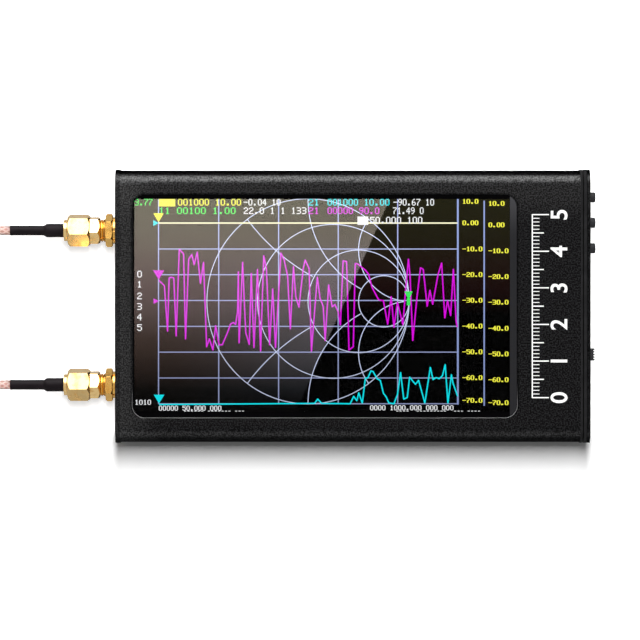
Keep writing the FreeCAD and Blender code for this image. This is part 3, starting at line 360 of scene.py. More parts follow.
def touch_glass(wire):
    """Clear cover glass with the faint smears that fingers leave."""
    smears = cloud(wire, 0.009, 3.0, place_on(wire, (1.0, 0.45, 1.0)))
    tone = smears.spread(0.4, 0.8).mixed(WHITE, (0.985, 0.99, 1.0))
    return surface(wire, tone, 0.002 + 0.01 * smears.spread(0.5, 0.8), IOR=1.5, Transmission_Weight=1.0)


def border_film(wire):
    """Matt black film on the rim of the cover glass, with painted light beside the printed scale: grey, lighter
    towards the top.
    """
    x, y = parts(wire, "XY")
    fine, slow = cloud(wire, 0.00012), cloud(wire, 0.004)
    # painted light: the film right of the lit area is grey, lighter towards the top
    painted_light_strip = y.spread(0.018, 0.031).mixed(shade(36, 36, 38), shade(60, 60, 62))
    tone = (x > LIT_RIGHT).mixed(slow.mixed(shade(1, 1, 1), shade(3, 3, 4)), painted_light_strip)
    return surface(wire, tone, 0.6 + 0.15 * fine, fine, 0.000003, Specular_IOR_Level=0.02)


def dark_panel(wire):
    """Polarizer of the display, almost black."""
    slow = cloud(wire, 0.01)
    return surface(wire, slow.mixed(shade(2, 2, 3), shade(5, 5, 6)), 0.35 + 0.08 * slow, Specular_IOR_Level=0.05)


def lit_dots(wire, colour, fall):
    """Light of the display, uneven from place to place, and fainter towards the bottom edge."""
    (y,) = parts(wire, "Y")
    level = y.spread(LIT_BOTTOM, LIT_TOP, 1.0 - fall, 1.0) + 0.06 * (cloud(wire, 0.012) - 0.5)
    return surface(wire, times(colour, 0.2), 0.5 + 0.1 * cloud(wire, 0.001),
                   Emission_Color=level.dimming(colour), Emission_Strength=1.0, Specular_IOR_Level=0.1)


def scale_print(wire):
    """White ink that follows the grain of the coat under it."""
    case = bpy.context.scene.analyzer_case
    grains = cloud(wire, case.grain, 3.0, rough=0.65)
    tone = grains.spread(0.25, 0.45).mixed(times(case.print_colour, 0.72), case.print_colour)
    return surface(wire, tone, 0.55 + 0.1 * grains, grains, case.relief * 0.5)


def foam(wire):
    """Black foam with open pores."""
    pores = cells(wire, 0.00035)
    tone = pores.spread(0.1, 0.6).mixed(shade(12, 12, 13), shade(30, 30, 32))
    return surface(wire, tone, 0.85 + 0.1 * pores, pores, 0.0001, Specular_IOR_Level=0.2)


def flat_cable(wire):
    """Amber film with copper tracks that run along it."""
    (y,) = parts(wire, "Y")
    tracks = y.maths("SINE", y * (2 * math.pi / 0.0005)).spread(-0.1, 0.3)
    tone = tracks.mixed(shade(120, 66, 22), shade(186, 112, 44))
    return surface(wire, tone, 0.3 + 0.15 * cloud(wire, 0.002), tracks, 0.00002)


def circuit_board(wire):
    """Green solder mask over square-cornered tracks, with small plated holes."""
    tracks = wire.maths("FRACT", cells(wire, 1 / 520, "MANHATTAN") * 5.0).spread(0.35, 0.5)
    holes = cells(wire, 0.0023) < 0.13
    tone = holes.mixed(tracks.mixed(shade(10, 62, 34), shade(18, 92, 50)), shade(214, 178, 96))
    return surface(wire, tone, 0.3 + 0.12 * tracks, tracks, 0.00003, Metallic=holes)


def chip_resin(wire):
    """Grey-black epoxy of the chips."""
    fine, slow = cloud(wire, 0.00016), cloud(wire, 0.003)
    tone = slow.spread(0.3, 0.7).mixed(shade(26, 26, 28), shade(40, 40, 42))
    return surface(wire, tone, 0.55 + 0.2 * fine, fine, 0.00001)


def battery_foil(wire):
    """Aluminium laminate, softly crumpled."""
    crumple, fine = cloud(wire, 0.007, 4.0), cloud(wire, 0.0004)
    tone = crumple.spread(0.3, 0.7).mixed(shade(168, 170, 174), shade(206, 208, 210))
    return surface(wire, tone, 0.3 + 0.2 * crumple, crumple + 0.1 * fine, 0.00025, Metallic=0.8)


def wire_sheath(wire):
    """One red and one black silicone sheath."""
    (y,) = parts(wire, "Y")
    tone = (y > 18.0 * MM).mixed(shade(26, 24, 26), shade(178, 26, 24))
    fine = cloud(wire, 0.0003)
    return surface(wire, tone, 0.4 + 0.15 * fine, fine, 0.00001)


def clear_pipe(wire):
    """Milky clear plastic of the light pipes."""
    haze = cloud(wire, 0.0009, 3.0)
    tone = haze.mixed(shade(222, 228, 226), shade(244, 248, 246))
    return surface(wire, tone, 0.3 + 0.2 * haze, haze, 0.000006, Transmission_Weight=0.1, Subsurface_Weight=0.3,
                   Subsurface_Scale=0.0005)


def dielectric(wire):
    """White turned plastic round a contact."""
    fine, slow = cloud(wire, 0.00014), cloud(wire, 0.0012)
    tone = slow.mixed(shade(222, 220, 212), shade(240, 239, 234))
    return surface(wire, tone, 0.5 + 0.12 * fine, fine, 0.000006, Subsurface_Weight=0.15, Subsurface_Scale=0.0006)


def shrink_tube(wire):
    """Shrunk sleeve: satin, with fine lines along it and dull patches."""
    colour = bpy.context.scene.analyzer_leads.sleeve
    along, around = parts(wire, "XY", wire.node("UVMap", {"uv_map": "Lay"}))
    lines = cloud(wire, 1.0, 2.0, wire.node("CombineXYZ", None, {"X": along * 260.0, "Y": around * 46.0}))
    dull = cloud(wire, 0.0024, 3.0)
    tone = dull.spread(0.3, 0.75).mixed(times(colour, 0.8), times(colour, 1.5))
    return surface(wire, tone, 0.4 + 0.18 * dull + 0.06 * lines, lines + 0.4 * dull, 0.00003,
                   Specular_IOR_Level=0.12)


def braided_cable(wire):
    """A clear pinkish jacket over a woven screen, drawn from the cable's own lay."""
    leads = bpy.context.scene.analyzer_leads
    along, around = parts(wire, "XY", wire.node("UVMap", {"uv_map": "Lay"}))
    bundles, strands_each, climb_a_turn = 6, 6, 0.0021
    turn, climb = around * (2 * math.pi * bundles), along * (2 * math.pi / climb_a_turn)
    weave = wire.maths("MAXIMUM", wire.maths("SINE", turn + climb), wire.maths("SINE", turn - climb))
    fine = wire.maths("SINE", strands_each * turn + strands_each * climb)
    stain = cloud(wire, 0.004, 3.0)
    strands = (weave + 0.22 * fine).spread(-0.2, 0.95)
    tone = strands.mixed(stain.mixed(times(leads.jacket, 0.88), leads.jacket), leads.braid)
    return surface(wire, tone, 0.34 - 0.1 * strands + 0.06 * stain, strands, 0.00005, Coat_Weight=0.6,
                   Coat_Roughness=0.12, Subsurface_Weight=0.12, Subsurface_Scale=0.0008)


def hook_and_loop(wire):
    """Knitted loops of the tie, fuzzy, in short rows."""
    colour = bpy.context.scene.analyzer_leads.tie
    rows, fuzz = cells(wire, 0.00034), cloud(wire, 0.00014, 3.0)
    tone = rows.spread(0.1, 0.7).mixed(times(colour, 1.7), times(colour, 0.6))
    return surface(wire, tone, 0.85 + 0.1 * fuzz, (1 - rows) + 0.4 * fuzz, 0.00012, Sheen_Weight=0.5,
                   Sheen_Roughness=0.6)


# --- meshes ---

def add_object(name, data):
    made = bpy.data.objects.new(name, data)
    bpy.context.scene.collection.objects.link(made)
    return made


def piece(name, mesh, material):
    """A finished mesh as a named piece that rides on the case."""
    made = add_object(name, mesh)
    mesh.materials.append(material)
    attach(made, CASE)
    return made


def mesh_from(name, points, faces):
    mesh = bpy.data.meshes.new(name)
    mesh.from_pydata(points, [], faces)
    return mesh


def mesh_of(curve):
    """The mesh that a curve or a text makes. The curve itself isn't kept."""
    holder = bpy.data.objects.new(curve.name, curve)
    mesh = bpy.data.meshes.new_from_object(holder)
    bpy.data.objects.remove(holder)
    bpy.data.curves.remove(curve)
    return mesh


def facing_up(mesh):
    """Turn over the faces of a flat mesh that look down."""
    for face in mesh.polygons:
        if face.normal.z < 0:
            face.flip()
    mesh.update()
    return mesh


def smooth(mesh):
    mesh.polygons.foreach_set("use_smooth", [True] * len(mesh.polygons))
    mesh.update()
    return mesh


def dress(material, *nodes, edge=0.0):
    """Give model nodes their finish and, where their edges are machined, a fine rounding."""
    for name in nodes:
        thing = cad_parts[name]
        for place in thing.material_slots:
            place.material = material
        if edge:
            joined = thing.modifiers.new("Joined faces", "WELD")
            joined.merge_threshold = 1e-6
            flat = thing.modifiers.new("Whole faces", "DECIMATE")
            flat.decimate_type, flat.angle_limit = "DISSOLVE", math.radians(0.5)
            rounded = thing.modifiers.new("Rounded edges", "BEVEL")
            rounded.width, rounded.segments = edge, 2
            rounded.limit_method, rounded.angle_limit = "ANGLE", math.radians(32)
            thing.modifiers.new("Even shading", "WEIGHTED_NORMAL")


def arc(x, y, reach, start, turn, steps):
    """Points round a middle, from a starting angle through a turn, both in degrees."""
    angles = [math.radians(start + turn * step / steps) for step in range(steps + 1)]
    return [(x + reach * math.cos(angle), y + reach * math.sin(angle)) for angle in angles]


def ring_about(centre, axis, up, radius, around, wobble=lambda turn: 0.0):
    side = axis.cross(up).normalized()
    up = side.cross(axis).normalized()
    turns = [2 * math.pi * number / around for number in range(around)]
    return [centre + (up * math.cos(turn) + side * math.sin(turn)) * (radius + wobble(turn)) for turn in turns]


def tube_mesh(name, rings, around):
    """A closed skin over rings, each a distance along and its points. Its lay is kept as a map: distance
    along, share of a turn around."""
    points = [tuple(point) for along, ring in rings for point in ring]
    faces, lay = [], []
    for number, ((near, _), (far, _)) in enumerate(zip(rings, rings[1:])):
        low, high = number * around, (number + 1) * around
        for side in range(around):
            after = (side + 1) % around
            faces.append((low + side, low + after, high + after, high + side))
            lay += [(near, side / around), (near, (side + 1) / around), (far, (side + 1) / around),
                    (far, side / around)]
    for (along, _), start, order in ((rings[0], 0, -1), (rings[-1], len(points) - around, 1)):
        faces.append(tuple(range(start, start + around))[::order])
        lay += [(along, side / around) for side in range(around)]
    mesh = mesh_from(name, points, faces)
    for corner, spot in zip(mesh.uv_layers.new(name="Lay").data, lay):
        corner.uv = spot
    return smooth(mesh)


DOT_SHARE, GAP_SHARE = 0.16, 0.2        # of the room for one number: a dot's width, and the gap after five


class Drawing:
    """Flat shapes of one ink, kept as faces until they become a piece."""

    def __init__(self, level, unit=(1.0, 1.0), origin=(0.0, 0.0)):
        self.level, self.unit, self.origin = level, unit, origin
        self.points, self.faces = [], []

    def patch(self, corners, lift=0.0):
        first = len(self.points)
        (left, low), (wide, tall) = self.origin, self.unit
        self.points += [(left + x * wide, low + y * tall, self.level + lift) for x, y in corners]
        self.faces.append(tuple(range(first, first + len(corners))))

    def bar(self, left, low, wide, tall, lift=0.0):
        self.patch([(left, low), (left + wide, low), (left + wide, low + tall), (left, low + tall)], lift)

    def line(self, spots, width):
        """A ribbon through a list of points, its corners filled with small eight-sided patches."""
        flat = [Vector(spot) for spot in spots]
        for first, second in zip(flat, flat[1:]):
            side = (second - first).orthogonal().normalized() * (width / 2)
            self.patch([first + side, first - side, second - side, second + side])
        for x, y in flat[1:-1]:
            self.patch(arc(x, y, width / 2, 0, 360, 8)[:-1])

    def numbers(self, text, left, right, middle, tall, bold=0.35):
        """Numbers in dots, five wide and seven high, spread from left to right about a middle line."""
        pitch, dot_tall = (right - left) / (len(text) - GAP_SHARE), tall / 7
        for place, letter in enumerate(text):
            for row, dots in enumerate(DOTS[letter].split()):
                for run in re.finditer("#+", dots):
                    self.bar(left + (place + run.start() * DOT_SHARE) * pitch, middle + (2.5 - row) * dot_tall,
                             len(run[0]) * DOT_SHARE * pitch + bold, dot_tall)

    def piece(self, name, material, slot):
        return piece(name, facing_up(mesh_from(name, self.points, self.faces)), material)


DOTS = {
    "0": ".###. #...# #...# #...# #...# #...# .###.",
    "1": "..#.. .##.. ..#.. ..#.. ..#.. ..#.. .###.",
    "2": ".###. #...# ....# ..##. .#... #.... #####",
    "3": "####. ....# ....# .###. ....# ....# ####.",
    "4": "...#. ..##. .#.#. #..#. ##### ...#. ...#.",
    "5": "##### #.... ####. ....# ....# #...# .###.",
    "6": "..##. .#... #.... ####. #...# #...# .###.",
    "7": "##### ....# ...#. ..#.. .#... .#... .#...",
    "8": ".###. #...# #...# .###. #...# #...# .###.",
    "9": ".###. #...# #...# .#### ....# ...#. .##..",
    ".": "..... ..... ..... ..... ..... .##.. .##..",
    "-": "..... ..... ..... ##### ..... ..... .....",
    " ": "..... ..... ..... ..... ..... ..... .....",
}


# --- leads ---

# a lead's cable, in millimetres: distance along X and height of its fall's control points, its coil, and its
# straight tail, which leans down to the free plug
FALL = ((-94.6, 11.0), (-104.1, 11.0), (-119.1, 1.65), (-136.7, 1.65))
EXIT_X, AXIS_HEIGHT = FALL[0]
COIL_X, LYING_HEIGHT = FALL[-1]
COIL_RADIUS, COIL_TURNS, COIL_PITCH, POINTS_A_TURN = 12.5, 2.5, 2.5, 16
CLIMBS, CLIMB_LENGTH = (0.55, 1.55), 0.35       # turns at which the cable climbs onto the turn below
TAIL, TAIL_HELD, TAIL_SLOPE = 9.71, 4.0, Vector((0.997893, 0.0, -0.064881)).normalized()
PORT_FACE, SLEEVE_END = -65.0, 29.6
CABLE_SIDES, SLEEVE_SIDES = 20, 40


def coil_height(turn):
    """Height of the cable's middle after that many turns of its coil, in millimetres."""
    height = LYING_HEIGHT
    for start in CLIMBS:
        share = min(1.0, max(0.0, (turn - start) / CLIMB_LENGTH))
        height += COIL_PITCH * share * share * (3 - 2 * share)
    return height


def tail_end(side):
    """Where the cable goes into the sleeve of its free plug, in millimetres."""
    return Vector((COIL_X, side + 2 * COIL_RADIUS, coil_height(COIL_TURNS))) + TAIL_SLOPE * TAIL


def cable_route(side):
    """Control points of one cable: the fall from its port, the coil, and the tail to its free plug."""
    reach = bpy.context.scene.analyzer_leads.coil / MM
    spots = [Vector((x, side, z)) for x, z in FALL[:-1]]
    for step in range(int(COIL_TURNS * POINTS_A_TURN) + 1):
        turn = step / POINTS_A_TURN
        angle = 2 * math.pi * turn
        spots.append(Vector((COIL_X - reach * math.sin(angle), side + COIL_RADIUS - reach * math.cos(angle),
                             coil_height(turn))))
    end = tail_end(side)
    return [spot * MM for spot in (*spots, end - TAIL_SLOPE * TAIL_HELD, end)]


def cable_line(name, spots):
    """Points along the smooth line of those control points."""
    curve = bpy.data.curves.new(name, "CURVE")
    curve.dimensions, curve.resolution_u = "3D", 10
    spline = curve.splines.new("NURBS")
    spline.points.add(len(spots) - 1)
    for point, spot in zip(spline.points, spots):
        point.co = (*spot, 1.0)
    spline.order_u = 3
    spline.use_endpoint_u = True
    line = mesh_of(curve)
    points = [vertex.co.copy() for vertex in line.vertices]
    bpy.data.meshes.remove(line)
    return points


def swept_rings(points, radius, around):
    """Rings along a line, turned no more than the line itself turns."""
    rings, along, up = [], 0.0, UP
    for number, point in enumerate(points):
        before, after = points[max(0, number - 1)], points[min(len(points) - 1, number + 1)]
        axis = (after - before).normalized()
        up = (up - axis * up.dot(axis)).normalized()
        along += (point - before).length
        rings.append((along, ring_about(point, axis, up, radius, around)))
    return rings


# distance from the face of the port plate, and radius, of a sleeve's skin, in millimetres
SLEEVE = ((14.73, 1.62), (14.8, 1.8), (15.05, 1.89), (16.0, 1.88), (17.8, 1.885), (19.2, 1.89), (19.55, 1.87),
          (19.8, 1.74), (20.05, 1.54), (20.35, 1.42), (21.2, 1.375), (24.0, 1.365), (27.0, 1.36), (28.8, 1.37),
          (29.42, 1.4), (29.56, 1.38), (29.6, 1.32), (29.58, 1.26))


def sleeve_mesh(name, origin, outward, seed):
    """A shrunk tube along a plug's axis, with shallow creases where it drew in."""
    shoulder, first_crease, last_crease = 20.4, 14.9, 29.4
    profile = []
    for (start, low), (end, high) in zip(SLEEVE, SLEEVE[1:]):
        steps = max(1, int((end - start) / 0.35))
        profile += [(start + (end - start) * step / steps, low + (high - low) * step / steps)
                    for step in range(steps)]
    rings = []
    for along, radius in (*profile, SLEEVE[-1]):
        depth = 0.0
        if first_crease < along < last_crease:
            depth = 0.012 + 0.05 * math.exp(-((along - shoulder) / 0.9) ** 2)

        def crease(turn, along=along, depth=depth):
            spot = Vector((math.cos(turn) * 2.2, math.sin(turn) * 2.2, along * 0.55 + seed))
            return -depth * MM * (noise.noise(spot) + 0.5)

        middle = origin + outward * (along * MM)
        rings.append((along * MM, ring_about(middle, outward, UP, radius * MM, SLEEVE_SIDES, crease)))
    return tube_mesh(name, rings, SLEEVE_SIDES)


def plug_frame(side, far):
    """Origin and outward direction of a plug: the near one on its port, the far one lying by its coil."""
    if far:
        return (tail_end(side) + TAIL_SLOPE * SLEEVE_END) * MM, -TAIL_SLOPE
    return Vector((PORT_FACE, side, AXIS_HEIGHT)) * MM, Vector((-1.0, 0.0, 0.0))


def tie_mesh(name, side):
    """A strap once round the coil, its end pressed down on top of its start."""
    left, right, low, high, reach = -150.8, -147.2, 0.2, 8.25, 1.3
    path = [(-149.0, high)]
    for x, z, start in ((right - reach, high - reach, 90), (right - reach, low + reach, 0),
                        (left + reach, low + reach, -90), (left + reach, high - reach, -180)):
        path += arc(x, z, reach, start, -90, 6)
    path += [(x, high + rise) for x, rise in ((-149.3, 0.16), (-148.7, 0.36), (-148.1, 0.4), (-147.3, 0.34),
                                              (-147.06, 0.1), (-146.98, -0.6))]
    wide, strips = 5.9, 8
    points = [(x * MM, (side + COIL_RADIUS + (step / strips - 0.5) * wide) * MM, z * MM)
              for x, z in path for step in range(strips + 1)]
    corners = [row * (strips + 1) + step for row in range(len(path) - 1) for step in range(strips)]
    faces = [(corner, corner + 1, corner + strips + 2, corner + strips + 1) for corner in corners]
    return smooth(mesh_from(name, points, faces))


class ANALYZER_OT_leads(bpy.types.Operator):
    """Make both leads: cable, sleeves and tie"""

    bl_idname = "analyzer.leads"
    bl_label = "Leads"

    def execute(self, context):
        leads = context.scene.analyzer_leads
        for number, side in LEAD_SIDES.items():
            points = cable_line(f"lead_{number}_line", cable_route(side))
            rings = swept_rings(points, leads.diameter / 2, CABLE_SIDES)
            cable = piece(f"lead_{number}_cable", tube_mesh(f"lead_{number}_cable", rings, CABLE_SIDES),
                          finish("Braided cable", braided_cable))
            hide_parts(f"cable_{number}", f"cable_{number}_coil")
            going_with = [f"cable_{number}_far_nut", f"cable_{number}_far_body"]
            for far, end in enumerate(("near", "far")):
                name = f"lead_{number}_{end}_sleeve"
                mesh = sleeve_mesh(name, *plug_frame(side, far), seed=number * 7.3 + far * 3.1)
                sleeve = piece(name, mesh, finish("Heat-shrink sleeve", shrink_tube))
                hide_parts(f"cable_{number}_{end}_sleeve")
            strap = piece(f"lead_{number}_tie", tie_mesh(f"lead_{number}_tie", side),
                          finish("Hook-and-loop tie", hook_and_loop))
            thick = strap.modifiers.new("Thickness", "SOLIDIFY")
            thick.thickness, thick.offset = 0.34 * MM, 0.0
            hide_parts(f"cable_{number}_tie")
            going_with += [sleeve, strap]
            if number == 1:
                going_with += ["far_plug_pins", "far_plug_insulators"]
        return {"FINISHED"}


class ANALYZER_OT_couplings(bpy.types.Operator):
    """Finish the gold ports, washers, panel nuts, plugs and coupling nuts, with their white cores"""

    bl_idname = "analyzer.couplings"
    bl_label = "Ports and plugs"

    def execute(self, context):
        leads, edge = context.scene.analyzer_leads, context.scene.analyzer_case.edge
        gold = finish("Gold plate", plated_gold, leads.gold)
        port_gold = finish("Port gold", plated_gold, leads.port_gold)
        white = finish("White dielectric", dielectric)
        for number in LEAD_SIDES:
            dress(port_gold, f"port_{number}_nut", f"port_{number}_washer", edge=edge)
            dress(port_gold, f"port_{number}_body", f"port_{number}_contact")
            dress(white, f"port_{number}_insulator")
            for end in ("near", "far"):
                dress(gold, f"cable_{number}_{end}_body", f"cable_{number}_{end}_nut", edge=edge)
        dress(gold, "near_plug_pins", "far_plug_pins")
        dress(white, "near_plug_insulators", "far_plug_insulators")
        return {"FINISHED"}


# --- case and controls ---

class ANALYZER_OT_case(bpy.types.Operator):
    """Finish the shells, end plates, moulded frame and screws"""

    bl_idname = "analyzer.case"
    bl_label = "Case"

    def execute(self, context):
        edge = context.scene.analyzer_case.edge
        dress(finish("Powder coat", powder_coat), "top_shell", "bottom_shell", edge=edge)
        dress(finish("Plate coat", powder_coat, 0.8, 0.6), "port_end_plate", "button_end_plate", edge=edge)
        dress(finish("Frame plastic", frame_plastic), "button_end_frame", edge=edge)
        dress(finish("Black steel", black_oxide), "port_end_screws", "button_end_screws", edge=edge / 2)
        return {"FINISHED"}


def digit_mesh(text, size):
    """A rounded numeral as a flat mesh, with its middle at the origin."""
    letters = bpy.data.curves.new("numeral", "FONT")
    letters.body, letters.size, letters.offset = text, size, size * 0.012
    letters.align_x, letters.align_y = "CENTER", "CENTER"
    return mesh_of(letters)


SCALE_LEFT, SCALE_LEVEL = 49.2 * MM, CASE_TOP + 0.012 * MM
NUMERAL_SIZE, NUMERAL_OFFSET = 6.4 * MM, 7.4 * MM


class ANALYZER_OT_scale(bpy.types.Operator):
    """Print a plain scale in millimetres on the face beside the display"""

    bl_idname = "analyzer.scale"
    bl_label = "Printed scale"

    def execute(self, context):
        length = context.scene.analyzer_case.scale_length
        count = int(round(length / MM))
        white = finish("Scale print", scale_print)
        ink = Drawing(SCALE_LEVEL, (MM, MM), (SCALE_LEFT, -length / 2))
        ink.bar(-0.3, -0.12, 0.3, length / MM + 0.24)
        for step in range(count + 1):
            reach, wide = (4.4, 0.3) if step % 10 == 0 else (3.0, 0.3) if step % 5 == 0 else (1.8, 0.2)
            ink.bar(0.0, step - wide / 2, reach, wide)
        ink.piece("scale_ticks", white, "case_coating")

        shape = bmesh.new()
        for ten in range(count // 10 + 1):
            numeral = digit_mesh(str(ten), NUMERAL_SIZE)
            spot = Vector((SCALE_LEFT + NUMERAL_OFFSET, -length / 2 + ten * 10 * MM, SCALE_LEVEL))
            numeral.transform(Matrix.Translation(spot) @ Matrix.Rotation(math.pi / 2, 4, "Z"))
            shape.from_mesh(numeral)
            bpy.data.meshes.remove(numeral)
        mesh = bpy.data.meshes.new("scale_numbers")
        shape.to_mesh(mesh)
        shape.free()
        piece("scale_numbers", facing_up(mesh), white)
        return {"FINISHED"}


class ANALYZER_OT_controls(bpy.types.Operator):
    """Finish the push buttons, the power slider, the charging socket, the light pipes and the switches"""

    bl_idname = "analyzer.controls"
    bl_label = "Buttons and sockets"

    def execute(self, context):
        plastic = finish("Button plastic", moulded_plastic, shade(40, 40, 42), 0.00016, 0.000008, 0.42)
        dress(plastic, "button_1", "button_2", "button_3")
        dress(plastic, "power_slider", edge=context.scene.analyzer_case.edge)
        dress(finish("Switch plastic", moulded_plastic, shade(38, 36, 34)), "tact_switches", "slide_switch_body")
        dress(finish("Tinned steel", metal, shade(196, 198, 202), 0.24, (0.1, 1.0, 1.0)), "usb_socket",
              "rf_shield")
        dress(finish("Clear pipe", clear_pipe), "status_lights")
        return {"FINISHED"}


class ANALYZER_OT_inside(bpy.types.Operator):
    """Finish what lies inside the case: board, battery, display parts and fasteners"""

    bl_idname = "analyzer.inside"
    bl_label = "Inside"

    def execute(self, context):
        dress(finish("Black foam", foam), "display_gasket")
        dress(finish("Flat cable", flat_cable), "display_ribbon")
        dress(finish("Circuit board", circuit_board), "main_board")
        dress(finish("Plain brass", metal, shade(212, 176, 96), 0.3), "board_standoffs")
        dress(finish("Zinc steel", metal, shade(188, 192, 200), 0.32), "board_screws")
        dress(finish("Chip resin", chip_resin), "board_chips")
        dress(finish("Battery foil", battery_foil), "battery_cell")
        dress(finish("Wire sheath", wire_sheath), "battery_leads")
        return {"FINISHED"}


# --- display ---

def round_corners(left, low, right, high, reach):
    """Points of a rectangle with rounded corners, counter-clockwise from its right side."""
    return [spot for x, y, start in ((right - reach, high - reach, 0), (left + reach, high - reach, 90),
                                     (left + reach, low + reach, 180), (right - reach, low + reach, 270))
            for spot in arc(x, y, reach, start, 90, 8)]


class ANALYZER_OT_glass(bpy.types.Operator):
    """Finish the cover glass and lay the black film on its rim"""

    bl_idname = "analyzer.glass"
    bl_label = "Cover glass"

    def execute(self, context):
        dress(finish("Touch glass", touch_glass), "cover_glass")
        dress(finish("Display panel", dark_panel), "lcd_panel")
        margin, level = 0.02 * MM, GLASS_HIGH.z + 0.01 * MM
        corner, lit_corner = 3.2 * MM, 0.05 * MM
        outer = round_corners(GLASS_LOW.x + margin, GLASS_LOW.y + margin, GLASS_HIGH.x - margin,
                              GLASS_HIGH.y - margin, corner)
        inner = round_corners(LIT_LEFT, LIT_BOTTOM, LIT_RIGHT, LIT_TOP, lit_corner)
        count = len(outer)
        faces = [(side, (side + 1) % count, count + (side + 1) % count, count + side) for side in range(count)]
        mesh = mesh_from("glass_border", [(x, y, level) for x, y in outer + inner], faces)
        piece("glass_border", mesh, finish("Border film", border_film))
        return {"FINISHED"}


# a drawing on the display is in its dots: columns to the right, rows downward as minus
DOT_WIDE, DOT_TALL = (LIT_RIGHT - LIT_LEFT) / COLUMNS, (LIT_TOP - LIT_BOTTOM) / ROWS
GRID_COLUMNS = (30.9, 107.9, 184.5, 260.7, 336.8, 413.2)
GRID_ROWS = (30.7, 63.9, 96.8, 129.8, 162.9, 195.9, 229.0, 262.0)
# lines beside the columns of numbers: column, first row, last row and width
RULES = ((413.7, 0, 263, 2.3), (447.4, 2, 264.6, 1.8))
CHART_MIDDLE, CHART_REACH = (222.1, -130.9), (129.3, 131.3)
COLUMN_WIDTH, ROW_WIDTH, ZERO_WIDTH, CHART_WIDTH = 1.45, 1.3, 1.8, 1.1


def draw_grid(ink, rule, level):
    """The grid, the line at zero, and the rules beside the columns of numbers."""
    left, right, zero = GRID_COLUMNS[0], GRID_COLUMNS[-1], GRID_ROWS[0]
    for column in GRID_COLUMNS[:-1]:
        ink.line([(column, 0), (column, -GRID_ROWS[-1])], COLUMN_WIDTH)
    for row in GRID_ROWS[1:]:
        ink.line([(left, -row), (right, -row)], ROW_WIDTH)
    for column, first, last, width in RULES:
        rule.line([(column, -first), (column, -last)], width)
    level.line([(left, -zero), (right, -zero)], ZERO_WIDTH)


def draw_chart(ink):
    """Circles of an impedance chart, all through one point at its right, and arcs that end on them."""
    def draw(spots):
        ink.line([tuple(middle + reach * part for middle, reach, part in zip(CHART_MIDDLE, CHART_REACH, spot))
                  for spot in spots], CHART_WIDTH)

    def outside(spot, share):
        """How far a point is outside the chart's circle of that share."""
        return math.dist(spot, (1 - share, 0)) - share

    for share in (1.0, 0.75, 0.5, 0.25):
        draw(arc(1 - share, 0, share, 0, 360, 120))
    for sign in (1, -1):
        for reactance, inner in ((0.5, 0.5), (1.0, 0.25), (2.0, 0.025)):
            curve = [(1 - math.sin(turn) / reactance, sign * (1 - math.cos(turn)) / reactance)
                     for turn in (math.pi * step / 360 for step in range(360))]
            draw([spot for spot in curve
                  if outside(spot, 1.0) < 0.001 < outside(spot, inner) and spot[0] < 1 - inner])


# turning points of the two traces, in columns and rows
PHASE = ((31.5, 104), (38.5, 111), (42.5, 169), (44.5, 101), (47, 100), (50.5, 101), (53.5, 175), (57.5, 64.5),
    (63, 70), (65.5, 179), (69.5, 77), (73.5, 71), (76.5, 84), (80.5, 68), (84.5, 108), (88.5, 81), (92.5, 189),
    (96, 179), (100.5, 193), (104, 162), (108.5, 186.5), (112.5, 186.5), (119.5, 170), (123, 160), (126.5, 158),
    (129.5, 160.5), (132, 144), (133, 93), (134, 184), (138.5, 81), (140.5, 128), (142.5, 171), (147, 186),
    (149.5, 95), (153, 190), (157.5, 90), (161.5, 194.5), (165.5, 72.5), (169, 90), (173, 186.5), (177, 115),
    (180.5, 190), (187.5, 69), (191.5, 78), (196, 98), (199.5, 166), (203.5, 86.5), (206.5, 125), (210.5, 138.5),
    (216, 89), (218.5, 78), (223.5, 89), (226.5, 194.5), (234, 100), (237.5, 127), (241.5, 137), (244, 181),
    (248.5, 110), (253, 138), (256.5, 135), (260.5, 144), (263.5, 161), (267, 79), (271.5, 80), (274.5, 193),
    (280, 189), (282.5, 82.5), (285.5, 83), (295.5, 91), (299.5, 96), (304, 113), (312.5, 129), (318.5, 130),
    (324, 160), (328.5, 125), (332, 164), (336.5, 132), (343.5, 161), (346.5, 121), (350.5, 77), (352.5, 97),
    (356, 181), (361.5, 125), (366, 88), (369.5, 90), (374.5, 137), (378, 117), (381.5, 134.5), (388.5, 96),
    (393, 82), (397, 152), (400.5, 130), (404.5, 149), (408, 90), (411.5, 156), (413, 164))
GAIN = ((31.5, 263), (230.5, 261.5), (234.5, 256), (239.5, 261.5), (276, 262), (280.5, 252.5), (284.5, 258),
    (287, 248), (291.5, 261), (295.5, 229), (298.5, 229), (302.5, 220), (305.5, 221), (310.5, 230), (314.5, 232),
    (318.5, 248.5), (322, 253), (325.5, 261), (332, 262), (336.5, 250), (340.5, 222), (344.5, 256), (349, 254),
    (352, 228), (359.5, 237), (363.5, 232), (371.5, 261), (378.5, 215.5), (382, 231), (386, 228.5), (390, 230),
    (394, 226), (397.5, 212), (401, 261), (405.5, 225), (407.5, 235.5), (413.5, 252.5))

LEVELS = ("10.0", "0.00", *(f"-{tens}0.0" for tens in range(1, 8)))
# left edge and rows of the two columns of levels
LEVEL_COLUMNS = ((419.4, (3, 30.4, 63.8, 96.6, 129.5, 162.6, 195.5, 228.6, 257.6)),
                 (452.8, (5.6, 33, 66.2, 99.2, 132, 165.4, 198.2, 231.2, 260.6)))
LEVEL_PITCH, LEVEL_GAP, LEVEL_TALL, LEVEL_BOLD = 5.1, 0.5, 6.0, 0.75
READOUT_TALL = 8.6
